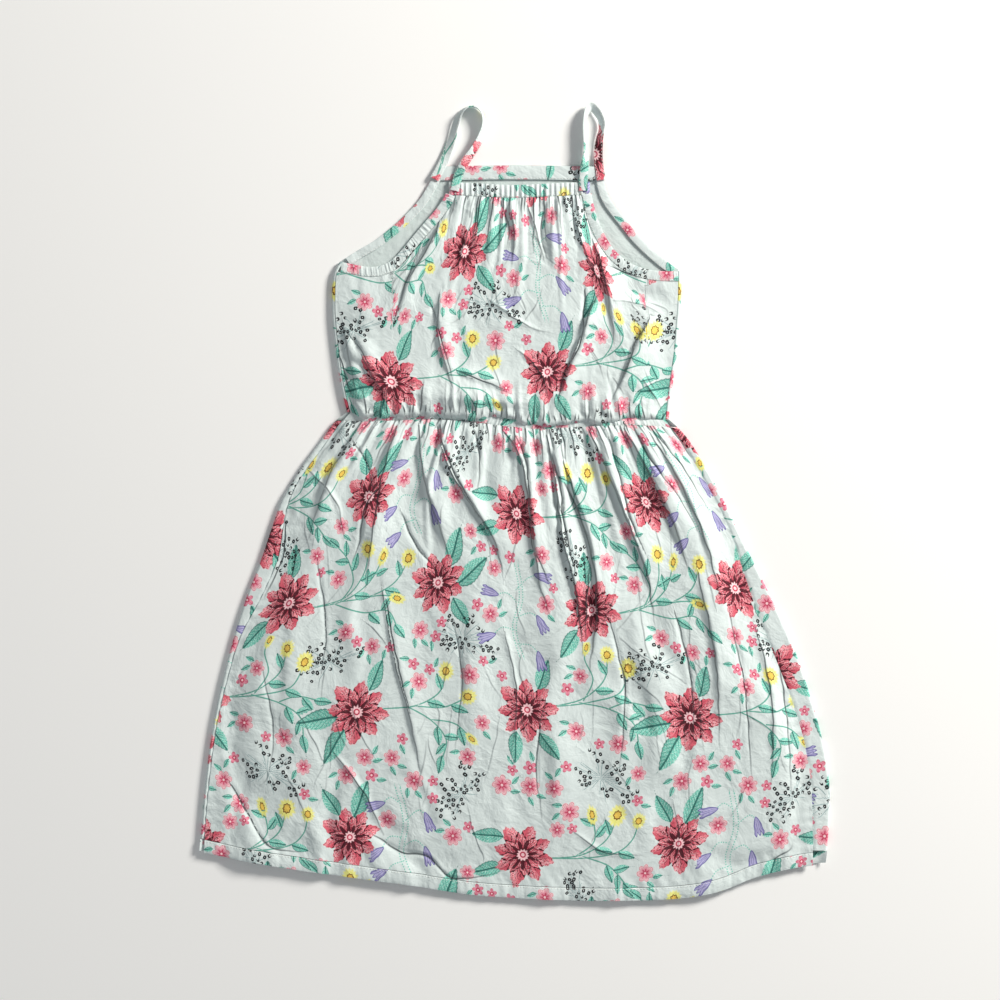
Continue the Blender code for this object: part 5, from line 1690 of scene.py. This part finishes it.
def model_stitch(sizes):
    """One stitch as a short thread whose ends narrow and dip into the cloth: (points, faces)."""
    bpy.ops.object.select_all(action="DESELECT")
    size = {"vertices": 6, "radius": sizes.thread / 2, "depth": sizes.stitch / 2}
    bpy.ops.mesh.primitive_cylinder_add(rotation=(0, math.pi / 2, 0), **size)
    stitch = bpy.context.object
    bpy.ops.object.transform_apply(location=False, rotation=True, scale=True)
    bpy.ops.object.mode_set(mode="EDIT")
    bpy.ops.mesh.select_mode(type="FACE")
    for way in (-1, 1):
        bpy.ops.mesh.select_all(action="DESELECT")
        bpy.ops.object.mode_set(mode="OBJECT")
        for polygon in stitch.data.polygons:
            polygon.select = polygon.normal.x * way > 0.9
        bpy.ops.object.mode_set(mode="EDIT")
        move = (way * sizes.stitch / 4, 0, -0.8 * sizes.thread)
        bpy.ops.mesh.extrude_region_move(TRANSFORM_OT_translate={"value": move})
        bpy.ops.transform.resize(value=(0.6, 0.6, 0.6))
    bpy.ops.object.mode_set(mode="OBJECT")
    points = np.array([v.co[:] for v in stitch.data.vertices])
    faces = [list(p.vertices) for p in stitch.data.polygons]
    bpy.data.objects.remove(stitch)
    return in_order(points, faces)


def in_order(points, faces):
    """The same points and faces sorted by place, because an extrusion's order can change from run to run."""
    order = np.lexsort(np.round(points / MM, 4).T)
    rank = np.argsort(order)
    turned = [np.roll(rank[face], -rank[face].argmin()) for face in faces]
    return points[order], sorted(tuple(face.tolist()) for face in turned)


def add_stitches(name, runs, sizes):
    """Rows of stitches, each a copy of one thread, along runs of points given in millimetres."""
    base, polygons = model_stitch(sizes)
    vertices, faces = [], []
    for run in runs:
        line = Line(run * MM, smooth=False)
        steps = np.concatenate([[0.0], np.cumsum(np.linalg.norm(np.diff(line.points, axis=0), axis=1))])
        place = 1.5 * sizes.stitch
        while place < steps[-1] - 1.5 * sizes.stitch:
            here, there = (
                np.array([np.interp(place + d, steps, line.points[:, k]) for k in range(3)])
                for d in (-sizes.stitch / 2, sizes.stitch / 2)
            )
            along = (there - here) / np.linalg.norm(there - here)
            across = np.cross((0, 0, 1), along)
            across /= max(np.linalg.norm(across), 1e-9)
            up = np.cross(along, across)
            points = (here + there) / 2 + base[:, :1] * along + base[:, 1:2] * across + base[:, 2:] * up
            faces += [tuple(len(vertices) + i for i in polygon) for polygon in polygons]
            vertices += points.tolist()
            place += sizes.stitch + sizes.stitch_gap
    mesh = bpy.data.meshes.new(name)
    mesh.from_pydata(vertices, [], faces)
    mesh.shade_smooth()
    mesh.materials.append(bpy.data.materials["sewing thread"])
    piece = add_object(name, mesh)
    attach(piece, "root")


def edge_run(rings, edge):
    """The line along a band's upper face, near one of its edges, with the thread half sunk in the cloth."""
    return rings[:, edge] + (0, 0, 0.1)


def add_floor(colours):
    """A pale matt floor just under the dress."""
    bpy.ops.mesh.primitive_plane_add(size=FLOOR_SIZE, location=(0, 0, FLOOR_LEVEL))
    floor = bpy.context.object
    floor.name = "floor"
    shader = new_material("floor", 0.9)[1]
    shader.inputs["Base Color"].default_value = solid(colours.floor)
    floor.data.materials.append(bpy.data.materials["floor"])


def add_lights():
    """A small key light low at the upper right, a large weak fill light and a pale sky."""
    for lamp in STUDIO_LIGHTS:
        light = bpy.data.lights.new(lamp.name, "AREA")
        light.size, light.color, light.energy = lamp.size, lamp.tint, lamp.power
        obj = add_object(lamp.name, light)
        obj.location = lamp.place
        x, y, z = lamp.place
        obj.rotation_euler = (0, math.atan2(math.hypot(x, y), z), math.atan2(y, x))
    world = bpy.data.worlds.new("studio")
    world.use_nodes = True
    world.node_tree.nodes["Background"].inputs["Color"].default_value = SKY_TINT
    world.node_tree.nodes["Background"].inputs["Strength"].default_value = SKY_STRENGTH
    bpy.context.scene.world = world
    bpy.context.scene.view_settings.view_transform = "Standard"


def add_camera(height):
    """A camera straight above the dress that sees one metre across."""
    camera = bpy.data.cameras.new("camera")
    camera.sensor_width = SENSOR
    camera.lens = SENSOR * height
    obj = add_object("camera", camera)
    obj.location = (*CAMERA_PLACE, height)
    bpy.context.scene.camera = obj


class DRESS_OT_finishes(bpy.types.Operator):
    """Make the printed cotton's two sides and the sewing thread"""

    bl_idname = "dress.finishes"
    bl_label = "Finishes"
    bl_options = {"REGISTER", "UNDO"}

    def execute(self, context):
        sizes, colours = context.scene.dress_sizes, context.scene.dress_colours
        for title, printed in zip(CLOTH_SIDES, (True, False)):
            cloth_material(title, colours, sizes, printed)
        thread_material(colours)
        return {"FINISHED"}


class DRESS_OT_back(bpy.types.Operator):
    """Lay the back bodice and the back skirt on the surface, curled up at the sides"""

    bl_idname = "dress.back"
    bl_label = "Back panels"
    bl_options = {"REGISTER", "UNDO"}

    def execute(self, context):
        bpy.ops.object.select_all(action="DESELECT")
        build_back()
        return {"FINISHED"}


class DRESS_OT_skirt(bpy.types.Operator):
    """Gather the front skirt to the waist"""

    bl_idname = "dress.skirt_front"
    bl_label = "Front skirt"
    bl_options = {"REGISTER", "UNDO"}

    def execute(self, context):
        bpy.ops.object.select_all(action="DESELECT")
        build_skirt_front(context.scene.dress_sizes)
        return {"FINISHED"}


class DRESS_OT_bodice(bpy.types.Operator):
    """Gather the front bodice to the neck and the waist"""

    bl_idname = "dress.bodice_front"
    bl_label = "Front bodice"
    bl_options = {"REGISTER", "UNDO"}

    def execute(self, context):
        bpy.ops.object.select_all(action="DESELECT")
        build_bodice_front(context.scene.dress_sizes)
        return {"FINISHED"}


class DRESS_OT_casings(bpy.types.Operator):
    """Sew the elastic casings and the bands at the neck, the armholes and the waist"""

    bl_idname = "dress.casings"
    bl_label = "Casings and bands"
    bl_options = {"REGISTER", "UNDO"}

    def execute(self, context):
        bpy.ops.object.select_all(action="DESELECT")
        build_neck(context.scene.dress_sizes)
        build_armholes(context.scene.dress_sizes)
        build_waist(context.scene.dress_sizes)
        return {"FINISHED"}


class DRESS_OT_hem(bpy.types.Operator):
    """Turn up the hem"""

    bl_idname = "dress.hem"
    bl_label = "Hem"
    bl_options = {"REGISTER", "UNDO"}

    def execute(self, context):
        bpy.ops.object.select_all(action="DESELECT")
        build_hem(context.scene.dress_sizes)
        return {"FINISHED"}


class DRESS_OT_straps(bpy.types.Operator):
    """Lay the two shoulder straps in their loops"""

    bl_idname = "dress.straps"
    bl_label = "Straps"
    bl_options = {"REGISTER", "UNDO"}

    def execute(self, context):
        bpy.ops.object.select_all(action="DESELECT")
        runs = build_strap("strap_left_cloth", STRAP_LEFT, "strap_left", (150.0, 196.0))
        runs += build_strap("strap_right_cloth", STRAP_RIGHT, "strap_right", (24.0, 96.0))
        add_stitches("strap_stitches", runs, context.scene.dress_sizes)
        return {"FINISHED"}


class DRESS_OT_stage(bpy.types.Operator):
    """Set the pale floor, the studio lights and the camera straight above"""

    bl_idname = "dress.stage"
    bl_label = "Stage"
    bl_options = {"REGISTER", "UNDO"}

    def execute(self, context):
        bpy.ops.object.select_all(action="DESELECT")
        add_floor(context.scene.dress_colours)
        add_lights()
        add_camera(context.scene.dress_sizes.camera_height)
        return {"FINISHED"}


STEPS = (
    DRESS_OT_finishes, DRESS_OT_back, DRESS_OT_skirt, DRESS_OT_bodice, DRESS_OT_casings, DRESS_OT_hem,
    DRESS_OT_straps, DRESS_OT_stage,
)


class DRESS_PT_panel(bpy.types.Panel):
    """The steps of building the dress, with its sizes and colours"""

    bl_idname = "DRESS_PT_panel"
    bl_label = "Summer dress"
    bl_space_type = "VIEW_3D"
    bl_region_type = "UI"
    bl_category = "Dress"

    def draw(self, context):
        for step in STEPS:
            self.layout.operator(step.bl_idname)
        for group in (context.scene.dress_sizes, context.scene.dress_colours):
            for name in group.bl_rna.properties.keys():
                if name not in ("rna_type", "name"):
                    self.layout.prop(group, name)


CLASSES = (DressColours, DressSizes, *STEPS, DRESS_PT_panel)


def register():
    for cls in CLASSES:
        bpy.utils.register_class(cls)
    bpy.types.Scene.dress_sizes = PointerProperty(type=DressSizes)
    bpy.types.Scene.dress_colours = PointerProperty(type=DressColours)


def unregister():
    del bpy.types.Scene.dress_colours
    del bpy.types.Scene.dress_sizes
    for cls in reversed(CLASSES):
        bpy.utils.unregister_class(cls)


def main():
    register()
    bpy.ops.dress.finishes()
    bpy.ops.dress.back()
    bpy.ops.dress.skirt_front()
    bpy.ops.dress.bodice_front()
    bpy.ops.dress.casings()
    bpy.ops.dress.hem()
    bpy.ops.dress.straps()
    bpy.ops.dress.stage()


if __name__ == "__main__":
    main()
